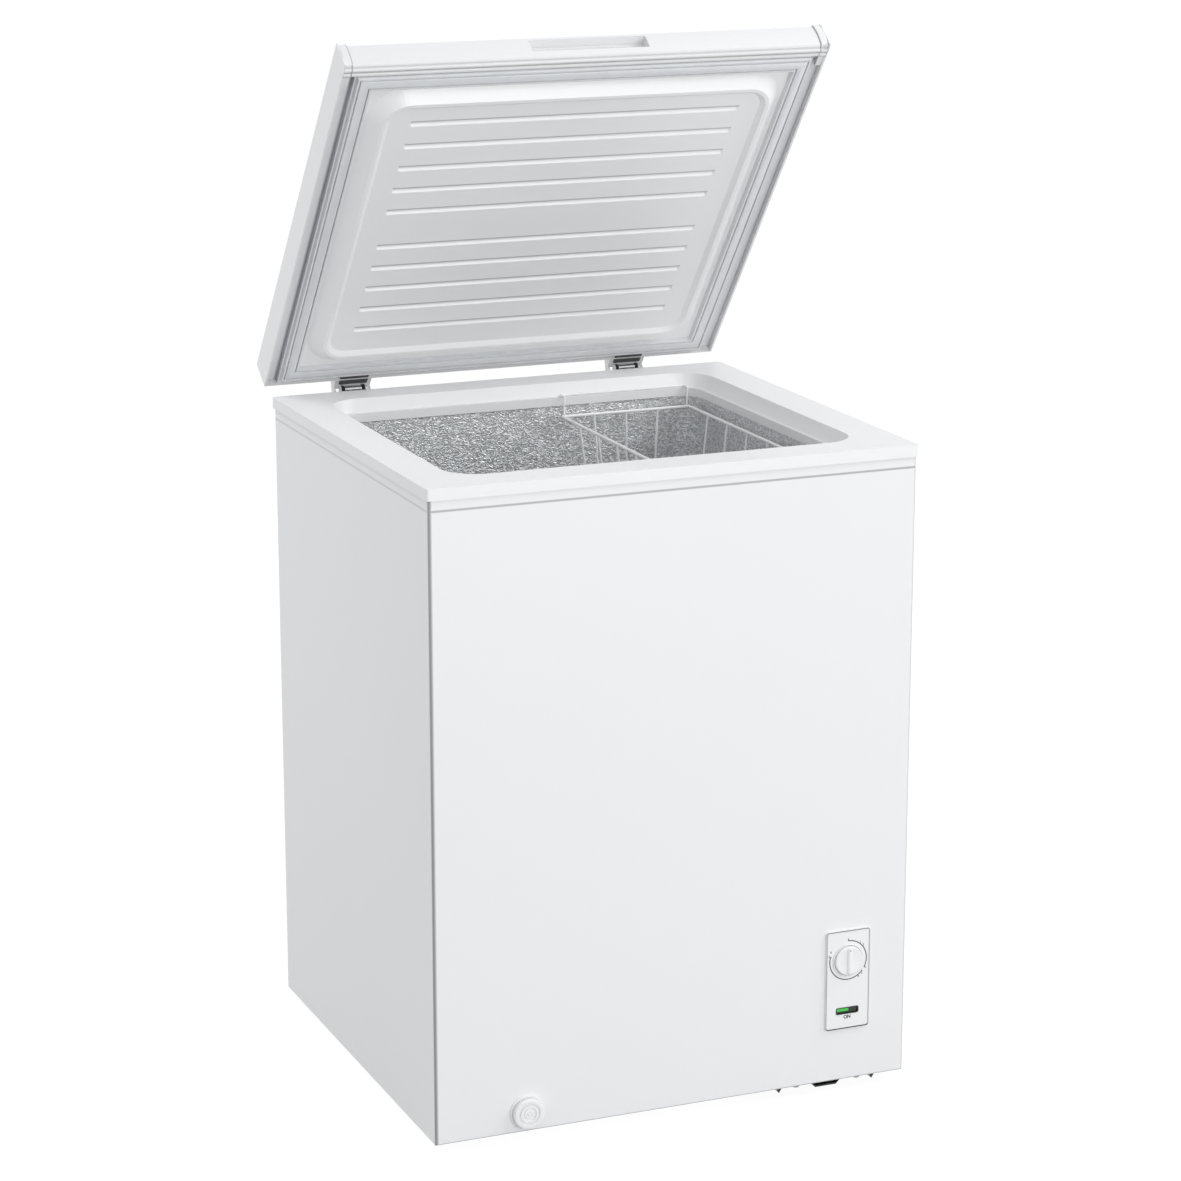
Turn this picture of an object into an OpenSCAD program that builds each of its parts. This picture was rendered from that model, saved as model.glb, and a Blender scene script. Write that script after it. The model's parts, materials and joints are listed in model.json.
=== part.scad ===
// Chest freezer: an insulated steel cabinet with an embossed aluminium liner, a hinged lid,
// a wire basket, a thermostat dial, a drain spout and a sealed refrigeration circuit.
// Millimetres, +Z up. The floor is z = 0 and the origin is under the middle of the whole part
// with its lid open. The front faces -Y.

/* [Cabinet] */
// Outside width of the steel cabinet
cab_w = 612; // [600:2:760]
// Outside depth of the steel cabinet
cab_d = 560; // [540:2:660]
// Height from the cabinet's bottom edge to the top of the rim
cab_h = 788; // [740:2:860]
// Insulated wall, from the outside to the liner's inner face
wall_t = 62.5; // [58:0.5:72]
// Insulation under the storage floor, from the cabinet's bottom edge
floor_t = 64; // [58:1:80]
// Thickness of the painted steel sheet
skin_t = 0.8; // [0.6:0.1:1.2]
// Width of the folded edges of the steel sheets
hem_w = 8; // [6:0.5:12]
// Thickness of the embossed aluminium liner
liner_t = 0.8; // [0.6:0.1:1.2]
// Inside radius of the liner's upright corners
liner_r = 30; // [24:1:40]

/* [Feet] */
// Height of the gap under the cabinet
foot_h = 16; // [14:1:30]
// Radius of a foot
foot_r = 15; // [12:0.5:18]
// Distance of a foot's centre from the cabinet's side
foot_side = 45; // [40:1:50]
// Distance of a foot's centre from the cabinet's front and back
foot_end = 60; // [55:1:80]

/* [Rim] */
// How far the plastic rim stands out from the cabinet
rim_over = 3; // [2:0.5:3.5]
// Height of the rim's outer skirt
rim_h = 14; // [10:1:20]
// Thickness of the rim's moulding
rim_t = 2.5; // [2:0.25:3.5]
// Depth of the basket ledge below the top of the rim
ledge_drop = 16; // [14:0.5:18]
// Width of the basket ledge
ledge_w = 6.5; // [6:0.25:8]
// Run of the sloping wall between the rim's top and the ledge
slope_run = 10; // [8:0.5:12]
// Height of the upright band below the ledge
band_h = 11; // [8:0.5:16]
// How far the band stands in front of the liner
band_proud = 2; // [1.5:0.25:3]
// Corner radius of the opening at the top of the rim
mouth_r = 44; // [40:1:50]
// Corner radius of the opening at the ledge
ledge_r = 26; // [22:1:30]

/* [Compressor bay] */
// Width of the compressor bay at the cabinet's right end
bay_w = 200; // [196:1:220]
// Height of the compressor bay
bay_h = 250; // [236:1:270]
// Insulation between the bay and the liner
bay_ins = 50; // [44:1:60]
// Thickness of the compressor's base plate
base_t = 2; // [1.5:0.25:3]
// Depth of the base plate's middle rib
rib_h = 10; // [7:0.5:11]
// Radius of the compressor's shell
comp_r = 58; // [50:1:60]
// Height of the compressor's shell
comp_h = 150; // [130:1:160]
// Distance of the compressor's centre from the cabinet's back
comp_back = 120; // [110:1:150]
// Height of the rubber grommets
grommet_h = 12; // [10:0.5:16]

/* [Refrigerant tubes] */
// Radius of the evaporator tube behind the liner
evap_r = 4; // [3:0.25:4.5]
// Radius of the condenser tube behind the outer panels
cond_r = 2.5; // [2:0.25:3]
// Radius of the capillary tube
capillary_r = 1.1; // [0.8:0.1:1.5]
// Height between two turns of tube
coil_pitch = 60; // [50:1:70]
// Number of evaporator turns
evap_turns = 6; // [3:1:7]
// Number of condenser turns
cond_turns = 5; // [3:1:6]

/* [Lid] */
// Angle at which the lid stands open
lid_open = 52; // [0:1:75]
// Height of the lid's edge
lid_h = 38; // [36:1:48]
// Gap between the rim and the lid's bottom edge when it is closed
lid_gap = 4; // [3.5:0.25:5]
// Overhang of the lid at each side
lid_side = 4; // [4:0.5:6]
// Overhang of the lid at the front
lid_front = 2; // [1:0.5:4]
// Set-back of the lid's rear edge from the cabinet's back
lid_back = 8; // [6:0.5:10]
// Thickness of the lid's steel sheet
lid_skin_t = 1; // [0.8:0.1:1.2]
// Thickness of the lid's plastic liner
lid_liner_t = 1.5; // [1.2:0.1:2]
// Height of the lid's recessed underside above its bottom edge
margin_up = 4; // [3.5:0.25:5]
// Rise of the channel along the lid's sides above its recessed underside
channel_up = 6; // [4:0.5:8]
// Width of the fold along the skin's bottom edge
lid_fold = 2.5; // [2:0.5:4]
// Depth of the lid's front trim, front to back
trim_d = 21; // [20:0.5:26]
// Depth of the lip where the lid's steel top lies on the trim, from the trim's front
lip_d = 12; // [10:0.5:14]
// Width of the end caps of the front trim
end_w = 10; // [6:0.5:14]
// Width of the finger recess in the front trim
pull_w = 150; // [120:1:200]
// Depth of the finger recess
pull_d = 15; // [12:0.5:16]
// Distance of the finger recess below the trim's top
pull_top = 6; // [5:0.5:8]
// Height of the finger recess's lower edge above the trim's bottom
pull_low = 11; // [10:0.5:13]

/* [Lid liner pattern] */
// Height of the raised ridge around the lid's underside
ridge_h = 14; // [10:0.5:16]
// Run of the ridge's outer slope
ridge_run = 17; // [12:0.5:20]
// Width of the ridge's crest
ridge_crest = 4.5; // [4:0.5:8]
// Run of the ridge's inner slope
ridge_inner = 6; // [4:0.5:10]
// Gap between the gasket and the ridge's foot at the sides and front
ridge_off = 2; // [1:0.5:6]
// Gap between the gasket and the ridge's foot at the rear
ridge_off_rear = 7; // [4:0.5:10]
// Gap between the ridge and the rim's inner edge when the lid is closed
ridge_clear = 0.8; // [0.5:0.1:3]
// Depth of the panel inside the ridge, from the crest
panel_deep = 4.5; // [3:0.5:8]
// Width of a stiffening groove
groove_w = 7; // [6:0.5:10]
// Width of a groove's floor
groove_floor = 2.5; // [2:0.5:4]
// Depth of a stiffening groove
groove_deep = 2.5; // [1.5:0.25:3]
// Distance between two grooves of one group
groove_pitch = 37; // [34:0.5:38]
// Distance between the two groups of grooves
groove_gap = 61; // [50:1:64]
// Grooves in each group
groove_count = 5; // [2:1:5]
// Length of a groove
groove_len = 425; // [300:5:440]
// Distance of the grooves' middle in front of the panel's
groove_shift = 6; // [0:0.5:6]

/* [Gasket] */
// Width of the lid gasket
seal_w = 19; // [17:0.5:20]
// Distance from the lid's side to the gasket
seal_side = 20; // [17:0.5:22]
// Distance from the lid's rear edge to the gasket
seal_rear = 10; // [8:0.5:12]
// Width of the magnet strip
magnet_w = 8; // [6:0.5:10]
// Height of the magnet strip
magnet_h = 2.5; // [2:0.25:3]

/* [Hinges] */
// Distance of the hinge pin behind the cabinet's back
pin_out = 16; // [15:0.5:18]
// Distance of the hinge pin below the top of the rim
pin_drop = 34; // [32:0.5:40]
// Distance from the cabinet's side to the middle of a hinge
hinge_side = 116; // [90:1:150]
// Width of the hinge bracket on the cabinet
bracket_w = 44; // [38:0.5:48]
// Thickness of the hinge steel
hinge_t = 2; // [1.5:0.25:2.5]
// Radius of the hinge pin
pin_r = 3.5; // [3:0.25:4]
// Radius of the hinge cam
cam_r = 9.5; // [9.25:0.25:9.75]
// Offset of the hinge cam's centre from the pin
cam_off = 4.5; // [4:0.1:4.5]
// Width of the hinge cam
cam_w = 18; // [14:0.5:24]
// Height of the hinge's spring housing below the pin
spring_h = 56; // [44:1:60]
// Radius of the hinge spring, to the middle of its wire
spring_r = 7; // [6:0.25:7.25]
// Thickness of the spring wire
spring_wire = 2; // [1.5:0.25:2]

/* [Basket] */
// Width of the basket at its top
basket_w = 182; // [150:1:220]
// Height of the basket
basket_h = 200; // [160:1:230]
// Depth of the basket's top wire below the rim
basket_drop = 40; // [36:0.5:46]
// Inward lean of the left and right sides, top to bottom
basket_lean = 25; // [10:1:30]
// Inward lean of the front and back, top to bottom
basket_lean_y = 8; // [6:1:20]
// Clearance between the basket and the band of the rim
basket_gap = 3; // [2:0.5:5]
// Diameter of the basket's top and bottom wires
wire_d = 4; // [3.5:0.25:5]
// Diameter of the basket's bars and hangers
bar_d = 2.8; // [2.4:0.1:3.6]
// Bars in the front and in the back
bars_x = 3; // [2:1:6]
// Bars in each side
bars_y = 6; // [4:1:12]

/* [Control panel] */
// Distance from the cabinet's right side to the middle of the panel
panel_in = 78; // [70:1:90]
// Height of the panel's middle above the cabinet's bottom edge
panel_up = 130; // [110:1:150]
// Width of the control panel
panel_w = 59; // [54:1:66]
// Height of the control panel
panel_h = 127; // [116:1:140]
// Thickness of the control panel
panel_t = 3; // [2:0.25:4]
// Height of the dial's centre above the panel's middle
dial_up = 25; // [20:1:28]
// Radius of the thermostat dial
dial_r = 20.5; // [17:0.5:22]
// Thickness of the dial's disc
dial_t = 9; // [6:0.5:12]
// Height of the dial's grip bar above its disc
grip_h = 6; // [4:0.5:8]
// Distance of the lamp window below the panel's middle
lamp_down = 40; // [36:1:44]
// Width of the lamp window
lamp_w = 30; // [24:1:36]
// Height of the lamp window
lamp_h = 8.5; // [7:0.5:10]
// Radius of the thermostat shaft
shaft_r = 3; // [2.5:0.25:3.5]

/* [Drain] */
// Distance from the cabinet's left side to the drain
drain_in = 115; // [100:1:140]
// Height of the drain's centre above the cabinet's bottom edge
drain_up = 24; // [23:0.5:28]
// Distance from the cabinet's front to the drain hole in the storage floor
drain_back = 130; // [110:1:160]
// Outside radius of the drain pipe
pipe_r = 11; // [10:0.5:12]
// Inside radius of the drain pipe
pipe_bore = 8.5; // [8:0.25:9]
// Radius of the drain's front collar
collar_r = 21.5; // [21:0.5:22.5]
// Radius of the drain's turning cap
cap_r = 19.5; // [18:0.5:20.5]
// Thickness of the drain's turning cap
cap_t = 7; // [5:0.5:9]

/* [Hidden] */
fit = 0.05;             // running clearance of a pin or shaft, on the radius
gap = 0.3;              // clearance between pieces that lie close together
eps = 0.01;             // overlap that keeps a cut from ending on a face
arc_fn = 48;            // facets of small round shapes

z_edge = foot_h;
z_rim = foot_h + cab_h;
floor_z = z_edge + floor_t;
bay_top = z_edge + bay_h;
step_z = bay_top + bay_ins;
bay_x = cab_w / 2 - bay_w;
step_x = bay_x - bay_ins;
bay_mid = (bay_x + cab_w / 2) / 2;
panel_top = z_rim - rim_t;

band_in = wall_t + band_proud;
ledge_in = band_in - ledge_w;
mouth_in = ledge_in - slope_run;
ledge_z = z_rim - ledge_drop;
ledge_t = rim_t;
liner_top = ledge_z - ledge_t - gap;

pin_y = cab_d / 2 + pin_out;
pin_z = z_rim - pin_drop;
hinge_x = cab_w / 2 - hinge_side;

lid_w = cab_w + 2 * lid_side;
lid_y0 = -cab_d / 2 - lid_front;
lid_y1 = cab_d / 2 - lid_back;
lid_z0 = z_rim + lid_gap;
lid_z1 = lid_z0 + lid_h;
margin_z = lid_z0 + margin_up;
crest_z = margin_z - ridge_h;
seal_front = trim_d + 0.5;

// Inset of the ridge's foot from the lid's edge: it clears the gasket, and its slope clears the rim
rim_pass = mouth_in + ridge_clear - ridge_run * (margin_z - z_rim) / ridge_h;
ridge_side = max(seal_side + seal_w + ridge_off, lid_side + rim_pass);
ridge_front = max(seal_front + seal_w + ridge_off, lid_front + rim_pass);
ridge_rear = max(seal_rear + seal_w + ridge_off_rear, rim_pass - lid_back);
ridge_r = mouth_r + 6;

dial_out = panel_t + dial_t + grip_h;
// Rearward reach of the open lid's top rear edge, from the hinge pin
swing = (lid_z1 - pin_z) * sin(lid_open) - (pin_out + lid_back) * cos(lid_open);
// Middle of the cabinet, placed so that the whole part with its lid open is centred on y = 0
cab_y = (dial_out - pin_out - swing) / 2;

ctl_x = cab_w / 2 - panel_in;
ctl_z = z_edge + panel_up;
dial_z = ctl_z + dial_up;
drain_x = -cab_w / 2 + drain_in;
drain_z = z_edge + drain_up;
drain_y = -cab_d / 2 + drain_back;

comp_y = cab_d / 2 - comp_back;
plate_z = z_edge + skin_t + base_t;       // top of the compressor's base plate
comp_z = plate_z + grommet_h;             // underside of the compressor's foot plate
stud_x = 62;
stud_y = 44;

// ---- Shared shapes ----

// Moves the cabinet's own middle line to its place in the part
module at_cab() {
    translate([0, cab_y, 0]) children();
}

// Turns the closed lid's shapes about the hinge pin to the open angle
module on_lid() {
    translate([0, cab_y + pin_y, pin_z])
        rotate([-lid_open, 0, 0])
            translate([0, -pin_y, -pin_z]) children();
}

// Rectangle with round corners, centred
module round_rect(w, d, r) {
    square([w - 2 * r, d], center = true);
    square([w, d - 2 * r], center = true);
    for (x = [-1, 1], y = [-1, 1])
        translate([x * (w / 2 - r), y * (d / 2 - r)]) circle(r, $fn = arc_fn);
}

// Slab over the cabinet's plan, inset from its outside, from z0 to z1
module plan_slab(inset, r, z0, z1) {
    translate([0, 0, z0])
        linear_extrude(z1 - z0) round_rect(cab_w - 2 * inset, cab_d - 2 * inset, r);
}

// Box between two corners
module box(a, b) {
    translate(a) cube(b - a);
}

// Cylinder along +Y from its origin
module rod_y(r, len) {
    rotate([-90, 0, 0]) cylinder(r = r, h = len, $fn = arc_fn);
}

// Cylinder along X, centred
module rod_x(r, len) {
    rotate([0, 90, 0]) cylinder(r = r, h = len, center = true, $fn = arc_fn);
}

// Rod between two points
module rod(a, b, d) {
    v = b - a;
    len = norm(v);
    translate(a)
        rotate([0, acos(v[2] / len), atan2(v[1], v[0])])
            cylinder(d = d, h = len, $fn = 24);
}

function unit(v) = v / norm(v);

// Points of a route whose square corners are rounded with radius r
function route(p, r) = [
    for (i = [0 : len(p) - 1])
        if (i == 0 || i == len(p) - 1) p[i]
        else let (u = unit(p[i - 1] - p[i]), v = unit(p[i + 1] - p[i]), c = p[i] + r * (u + v))
            for (t = [0 : 22.5 : 90]) c - r * (v * cos(t) + u * sin(t))
];

function tangent(p, i) = unit(p[min(i + 1, len(p) - 1)] - p[max(i - 1, 0)]);

function square_to(n, t) = unit(n - (n * t) * t);

// Tube of radius r swept along points, with n sides
module tube(p, r, n = 8) {
    last = len(p) - 1;
    first = tangent(p, 0);
    start = square_to(abs(first[2]) > 0.9 ? [1, 0, 0] : [0, 0, 1], first);
    normals = [for (i = 0, m = start; i <= last; i = i + 1, m = square_to(m, tangent(p, min(i, last)))) m];
    rings = [for (i = [0 : last], k = [0 : n - 1])
        p[i] + r * (normals[i] * cos(360 * k / n) + cross(tangent(p, i), normals[i]) * sin(360 * k / n))];
    sides = [for (i = [0 : last - 1], k = [0 : n - 1])
        [i * n + k, (i + 1) * n + k, (i + 1) * n + (k + 1) % n, i * n + (k + 1) % n]];
    ends = [[for (k = [0 : n - 1]) k], [for (k = [n - 1 : -1 : 0]) last * n + k]];
    polyhedron(rings, concat(sides, ends), convexity = 10);
}

// Route of a coil of level turns around the cabinet, inset from its outside. Each turn starts
// and ends at the back, between x0 and x0 + turn_gap, and a riser leads to the next.
turn_gap = 24;
function coil(inset, z0, turns, x0) = [
    for (k = [0 : turns - 1])
        let (x = cab_w / 2 - inset, y = cab_d / 2 - inset, z = z0 + k * coil_pitch,
            turn = [[x0, y, z], [-x, y, z], [-x, -y, z], [x, -y, z], [x, y, z],
                [x0 + turn_gap, y, z]])
            for (i = [0 : 5]) turn[k % 2 == 0 ? i : 5 - i]
];

// ---- Cabinet ----

module front_panel() {
    color("white") at_cab() difference() {
        union() {
            box([-cab_w / 2, -cab_d / 2, z_edge], [cab_w / 2, -cab_d / 2 + skin_t, panel_top]);
            for (s = [-1, 1]) {
                x = s * (cab_w / 2 - 1.5 * skin_t);
                translate([x - skin_t / 2, -cab_d / 2, z_edge + 2 * skin_t])
                    cube([skin_t, hem_w, panel_top - z_edge - 2 * skin_t]);
            }
            box([-cab_w / 2 + skin_t, -cab_d / 2, z_edge],
                [cab_w / 2 - skin_t, -cab_d / 2 + hem_w, z_edge + skin_t]);
        }
        translate([drain_x, -cab_d / 2 - 1, drain_z]) rod_y(pipe_r + gap, skin_t + 2);
        translate([ctl_x, -cab_d / 2 - 1, dial_z]) rod_y(shaft_r + 5, skin_t + 2);
        translate([ctl_x, -cab_d / 2, ctl_z - lamp_down])
            cube([lamp_w + gap, 4 * skin_t, lamp_h + gap], center = true);
    }
}

// One side panel, with its rear flange and its bottom hem; s is -1 for the left side
module side_panel(s) {
    mirror([s < 0 ? 1 : 0, 0, 0]) {
        x1 = cab_w / 2;
        box([x1 - skin_t, -cab_d / 2 + skin_t, z_edge], [x1, cab_d / 2, panel_top]);
        box([x1 - 2 * hem_w, cab_d / 2 - skin_t, z_edge], [x1 - skin_t / 2, cab_d / 2, panel_top]);
        box([x1 - hem_w, -cab_d / 2 + hem_w + gap, z_edge], [x1 - skin_t / 2, cab_d / 2, z_edge + skin_t]);
    }
}

grille_w = 110;
grille_h = 80;
grille_y = 60;
grille_z = z_edge + 130;

module left_side_panel() {
    color("gainsboro") at_cab() side_panel(-1);
}

module right_side_panel() {
    color("gainsboro") at_cab() difference() {
        side_panel(1);
        translate([cab_w / 2, grille_y, grille_z]) cube([hem_w / 2, grille_w, grille_h], center = true);
    }
}

module back_panel() {
    x1 = cab_w / 2 - skin_t;
    y0 = cab_d / 2 - 2 * skin_t;
    color("lightgray") at_cab() difference() {
        box([-x1, y0, z_edge + skin_t], [x1, y0 + skin_t, panel_top]);
        box([bay_x, y0 - 1, 0], [x1 + 1, y0 + 2, bay_top]);
        for (s = [-1, 1]) bracket_screws(s, 2.2, y0 - 1, 4);
        cover_screws(2.2, y0 - 1, 4);
    }
}

module base_panel() {
    color("silver") at_cab()
        box([-cab_w / 2 + skin_t, -cab_d / 2 + skin_t, z_edge + skin_t],
            [bay_x - skin_t, cab_d / 2 - 2 * skin_t, z_edge + 2 * skin_t]);
}

tail_x = bay_mid + 30;          // where the evaporator's tail comes down into the bay
cond_tail_x = bay_mid + 60;     // where the condenser's tail comes down into the bay
tail_low = 20;                  // how far the evaporator's tail hangs into the bay
cond_low = 40;                  // how far the condenser's tail hangs into the bay
evap_in = wall_t - liner_t - gap - evap_r;
cond_in = 2 * skin_t + gap + cond_r;

module bay_panel() {
    x1 = cab_w / 2 - 2 * skin_t;
    y1 = cab_d / 2 - 2 * skin_t;
    color("silver") at_cab() difference() {
        union() {
            box([bay_x - skin_t, -cab_d / 2 + skin_t, z_edge + 2 * skin_t], [bay_x, y1, bay_top]);
            box([bay_x - skin_t, -cab_d / 2 + skin_t, bay_top], [x1, y1, bay_top + skin_t]);
        }
        tail_holes(bay_top - 1, bay_top + 2);
        translate([ctl_x, sensor_y, bay_top - 1]) cylinder(r = sensor_r + gap, h = 3, $fn = 24);
        for (s = [-1, 1])
            translate([s * (cab_w / 2 - 1.5 * skin_t), -cab_d / 2 + hem_w / 2, bay_top])
                cube([2 * skin_t, hem_w + 2 * gap, 4], center = true);
    }
}

// Holes for the tube tails and the sensor, from z0 to z1
module tail_holes(z0, z1) {
    tails = [[tail_x, cab_d / 2 - evap_in, evap_r], [tail_x - turn_gap, cab_d / 2 - evap_in, evap_r],
        [cond_tail_x, cab_d / 2 - cond_in, cond_r], [cond_tail_x - turn_gap, cab_d / 2 - cond_in, cond_r]];
    for (t = tails) translate([t[0], t[1], z0]) cylinder(r = t[2] + 2 * gap, h = z1 - z0, $fn = 24);
}

// The storage space inside the liner, grown by t, up to z = top
module storage(t, top) {
    plan_slab(wall_t - t, liner_r + t, step_z - t, top);
    low_w = step_x + cab_w / 2 - wall_t + 2 * t;
    translate([step_x + t - low_w / 2, 0, floor_z - t])
        linear_extrude(top - floor_z + t) round_rect(low_w, cab_d - 2 * wall_t + 2 * t, liner_r + t);
}

evap_z = step_z + 50;
cond_z = step_z + 20;
sensor_r = 1.5;
sensor_y = -cab_d / 2 + skin_t + 20;
comp_dome = 30;

cond_bend = 8;          // bend radius of the condenser tube's corners

module insulation() {
    skin = 2 * skin_t;
    evap_h = 2 * (evap_r + gap);
    cond_h = 2 * (cond_r + gap);
    color("khaki") at_cab() difference() {
        box([-cab_w / 2 + skin, -cab_d / 2 + skin, z_edge + skin],
            [cab_w / 2 - skin, cab_d / 2 - skin, panel_top]);
        storage(liner_t + eps, z_rim);
        plan_slab(mouth_in - rim_t - gap, mouth_r, liner_top - band_h, z_rim);
        box([bay_x - skin_t, -cab_d, 0], [cab_w, cab_d, bay_top + skin_t]);
        for (k = [0 : evap_turns - 1])
            translate([0, 0, evap_z + k * coil_pitch])
                plan_slab(evap_in - evap_h / 2, liner_r + evap_h / 2, -evap_h / 2, evap_h / 2);
        for (k = [0 : cond_turns - 1])
            translate([0, 0, cond_z + k * coil_pitch]) difference() {
                cube([cab_w, cab_d, cond_h], center = true);
                plan_slab(cond_in + cond_h / 2, cond_bend - cond_h / 2, -cond_h, cond_h);
            }
        box([tail_x - turn_gap - liner_r - gap, cab_d / 2 - wall_t, bay_top],
            [tail_x + liner_r + gap, cab_d / 2 - evap_in + evap_r + gap,
                evap_z + (evap_turns - 1) * coil_pitch + evap_r + gap]);
        box([cond_tail_x - turn_gap - cond_bend - gap, cab_d / 2 - cond_in - cond_r - gap, bay_top],
            [cond_tail_x + cond_bend + gap, cab_d / 2,
                cond_z + (cond_turns - 1) * coil_pitch + cond_r + gap]);
        translate([drain_x, -cab_d / 2, drain_z]) rod_y(pipe_r + gap, drain_back + pipe_r + gap);
        translate([drain_x, drain_y, drain_z])
            cylinder(r = pipe_r + gap, h = floor_z - drain_z, $fn = arc_fn);
        for (s = [-1, 1]) bracket_screws(s, 2.2, cab_d / 2 - 12, 12);
        cover_screws(2.2, cab_d / 2 - 12, 12);
        translate([ctl_x, sensor_y, bay_top]) cylinder(r = sensor_r + gap, h = bay_ins, $fn = 24);
    }
}

module inner_liner() {
    color("silver") at_cab() difference() {
        storage(liner_t, liner_top);
        storage(0, z_rim);
        translate([drain_x, drain_y, floor_z - 5])
            cylinder(r = pipe_bore, h = 10, $fn = arc_fn);
    }
}

module top_frame() {
    color("white") at_cab() difference() {
        union() {
            difference() {
                plan_slab(-rim_over, rim_over, z_rim - rim_h, z_rim);
                plan_slab(0, eps, z_rim - rim_h - 1, z_rim - rim_t);
            }
            hull() {
                plan_slab(mouth_in - rim_t, mouth_r, z_rim - rim_t, z_rim - eps);
                plan_slab(ledge_in - rim_t, ledge_r, ledge_z - ledge_t, ledge_z);
            }
            plan_slab(wall_t + gap / 2, liner_r - gap / 2, ledge_z - band_h, ledge_z);
        }
        hull() {
            plan_slab(mouth_in, mouth_r, z_rim, z_rim + eps);
            plan_slab(ledge_in, ledge_r, ledge_z, ledge_z + eps);
        }
        plan_slab(mouth_in, mouth_r, z_rim, z_rim + 1);
        plan_slab(band_in, liner_r - band_proud, ledge_z - band_h - 1, ledge_z + 2 * eps);
    }
}

module evaporator_tube() {
    p = coil(evap_in, evap_z, evap_turns, tail_x - turn_gap);
    z = bay_top - tail_low;
    last = p[len(p) - 1];
    color("peru") at_cab()
        tube(route(concat([[p[0][0], p[0][1], z]], p, [last + [0, 0, -0.6 * coil_pitch]]),
            liner_r), evap_r);
}

module condenser_tube() {
    p = coil(cond_in, cond_z, cond_turns, cond_tail_x - turn_gap);
    color("peru") at_cab()
        tube(route(concat([[p[0][0], p[0][1], bay_top - cond_low]], p), cond_bend), cond_r);
}

// ---- Compressor bay ----

// Folded sheet: the outline's underside points, with the same line raised by its thickness
module folded_sheet(p, t, len) {
    rotate([90, 0, 0])
        linear_extrude(len)
            polygon(concat(p, [for (i = [len(p) - 1 : -1 : 0]) p[i] + [0, t]]));
}

rib_top = 24;
rib_low = 14;
rib_len = 36;
vee_x = 63;
vee_w = 6;

module compressor_base() {
    z0 = z_edge + skin_t;
    half = bay_w / 2 - skin_t;
    y0 = -cab_d / 2 + skin_t;
    y1 = cab_d / 2 - 2 * skin_t;
    rib_y0 = -cab_d / 2 + hem_w + gap;
    color("dimgray") at_cab() translate([bay_mid, 0, 0]) difference() {
        union() {
            difference() {
                box([-half, y0, z0], [half, y1, z0 + base_t]);
                box([-rib_top, rib_y0, z0 - 1], [rib_top, y1 - hem_w, z0 + base_t + 1]);
                box([half - skin_t - gap, y0 - 1, z0 - 1], [half + 1, rib_y0, z0 + base_t + 1]);
            }
            translate([0, y1 - hem_w, z0])
                folded_sheet([[-rib_top - 1, 0], [-rib_top, 0], [-rib_low, -rib_h],
                    [rib_low, -rib_h], [rib_top, 0], [rib_top + 1, 0]], base_t,
                    y1 - hem_w - rib_y0);
            for (s = [-1, 1])
                translate([s * vee_x, rib_y0 + rib_len, z0 + eps]) rotate([90, 0, 0])
                    linear_extrude(rib_len) polygon([[-vee_w, 0], [0, -rib_h], [vee_w, 0]]);
        }
        for (x = [-stud_x, stud_x], y = [-stud_y, stud_y])
            translate([x, comp_y + y, z0 - 1]) cylinder(r = 3 + fit, h = base_t + 2, $fn = 24);
    }
}

module compressor() {
    shell = 3;
    color("black") at_cab() {
        translate([bay_mid, comp_y, comp_z + 3 - eps]) {
            rotate_extrude($fn = arc_fn) difference() {
                can(comp_r, comp_h, comp_dome);
                translate([0, shell]) can(comp_r - shell, comp_h - 2 * shell, comp_dome - shell);
            }
            translate([0, 0, comp_h / 2]) difference() {
                cylinder(r = comp_r + 3, h = 5, center = true, $fn = arc_fn);
                cylinder(r = comp_r - shell, h = 6, center = true, $fn = arc_fn);
            }
        }
        difference() {
            translate([bay_mid, comp_y, comp_z])
                linear_extrude(3) round_rect(2 * stud_x + 30, 2 * stud_y + 30, 15);
            at_studs() cylinder(r = 6, h = 2 * comp_z, $fn = 24);
        }
    }
}

// Half outline of a can with round shoulders
module can(r, h, dome) {
    square([r - dome, h]);
    translate([0, dome]) square([r, h - 2 * dome]);
    for (z = [dome, h - dome]) translate([r - dome, z]) intersection() {
        circle(dome, $fn = arc_fn);
        translate([dome - r, -h]) square([r, 2 * h]);
    }
}

module at_studs() {
    for (x = [-stud_x, stud_x], y = [-stud_y, stud_y])
        translate([bay_mid + x, comp_y + y, 0]) children();
}

module compressor_grommets() {
    color("darkslategray") at_cab() at_studs() difference() {
        union() {
            translate([0, 0, plate_z]) cylinder(r = 10, h = grommet_h, $fn = 32);
            translate([0, 0, plate_z]) cylinder(r = 6 - fit, h = grommet_h + 3, $fn = 32);
        }
        cylinder(r = 3 + fit, h = 2 * comp_z, $fn = 24);
    }
}

module compressor_studs() {
    color("silver") at_cab() at_studs() {
        translate([0, 0, z_edge + skin_t - 3]) cylinder(r = 6, h = 3, $fn = 24);
        translate([0, 0, z_edge + skin_t - 1]) cylinder(r = 3, h = base_t + grommet_h + 10, $fn = 24);
        translate([0, 0, comp_z + 3 + gap]) cylinder(r = 7, h = 4, $fn = 24);
    }
}

// Box over the terminals, open towards the shell that it sits on
module terminal_cover() {
    h = comp_h / 2 - comp_dome - 2.5 - 2 * gap;
    w = 46;
    out = comp_r + 22;
    color("black") at_cab() translate([bay_mid, comp_y, comp_z + 3 + comp_dome + gap]) difference() {
        translate([-out, -w / 2, 0]) cube([30, w, h]);
        translate([2 - out, 2 - w / 2, 2]) cube([40, w - 4, h - 4]);
        translate([0, 0, -1]) cylinder(r = comp_r + gap, h = h + 2, $fn = arc_fn);
    }
}

// Where a pipe of radius r that runs along Y at x meets the back of the compressor's shell
function shell_back(x, r) =
    comp_y + sqrt(pow(comp_r, 2) - pow(max(0, abs(x - bay_mid) - r), 2)) + gap;

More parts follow.
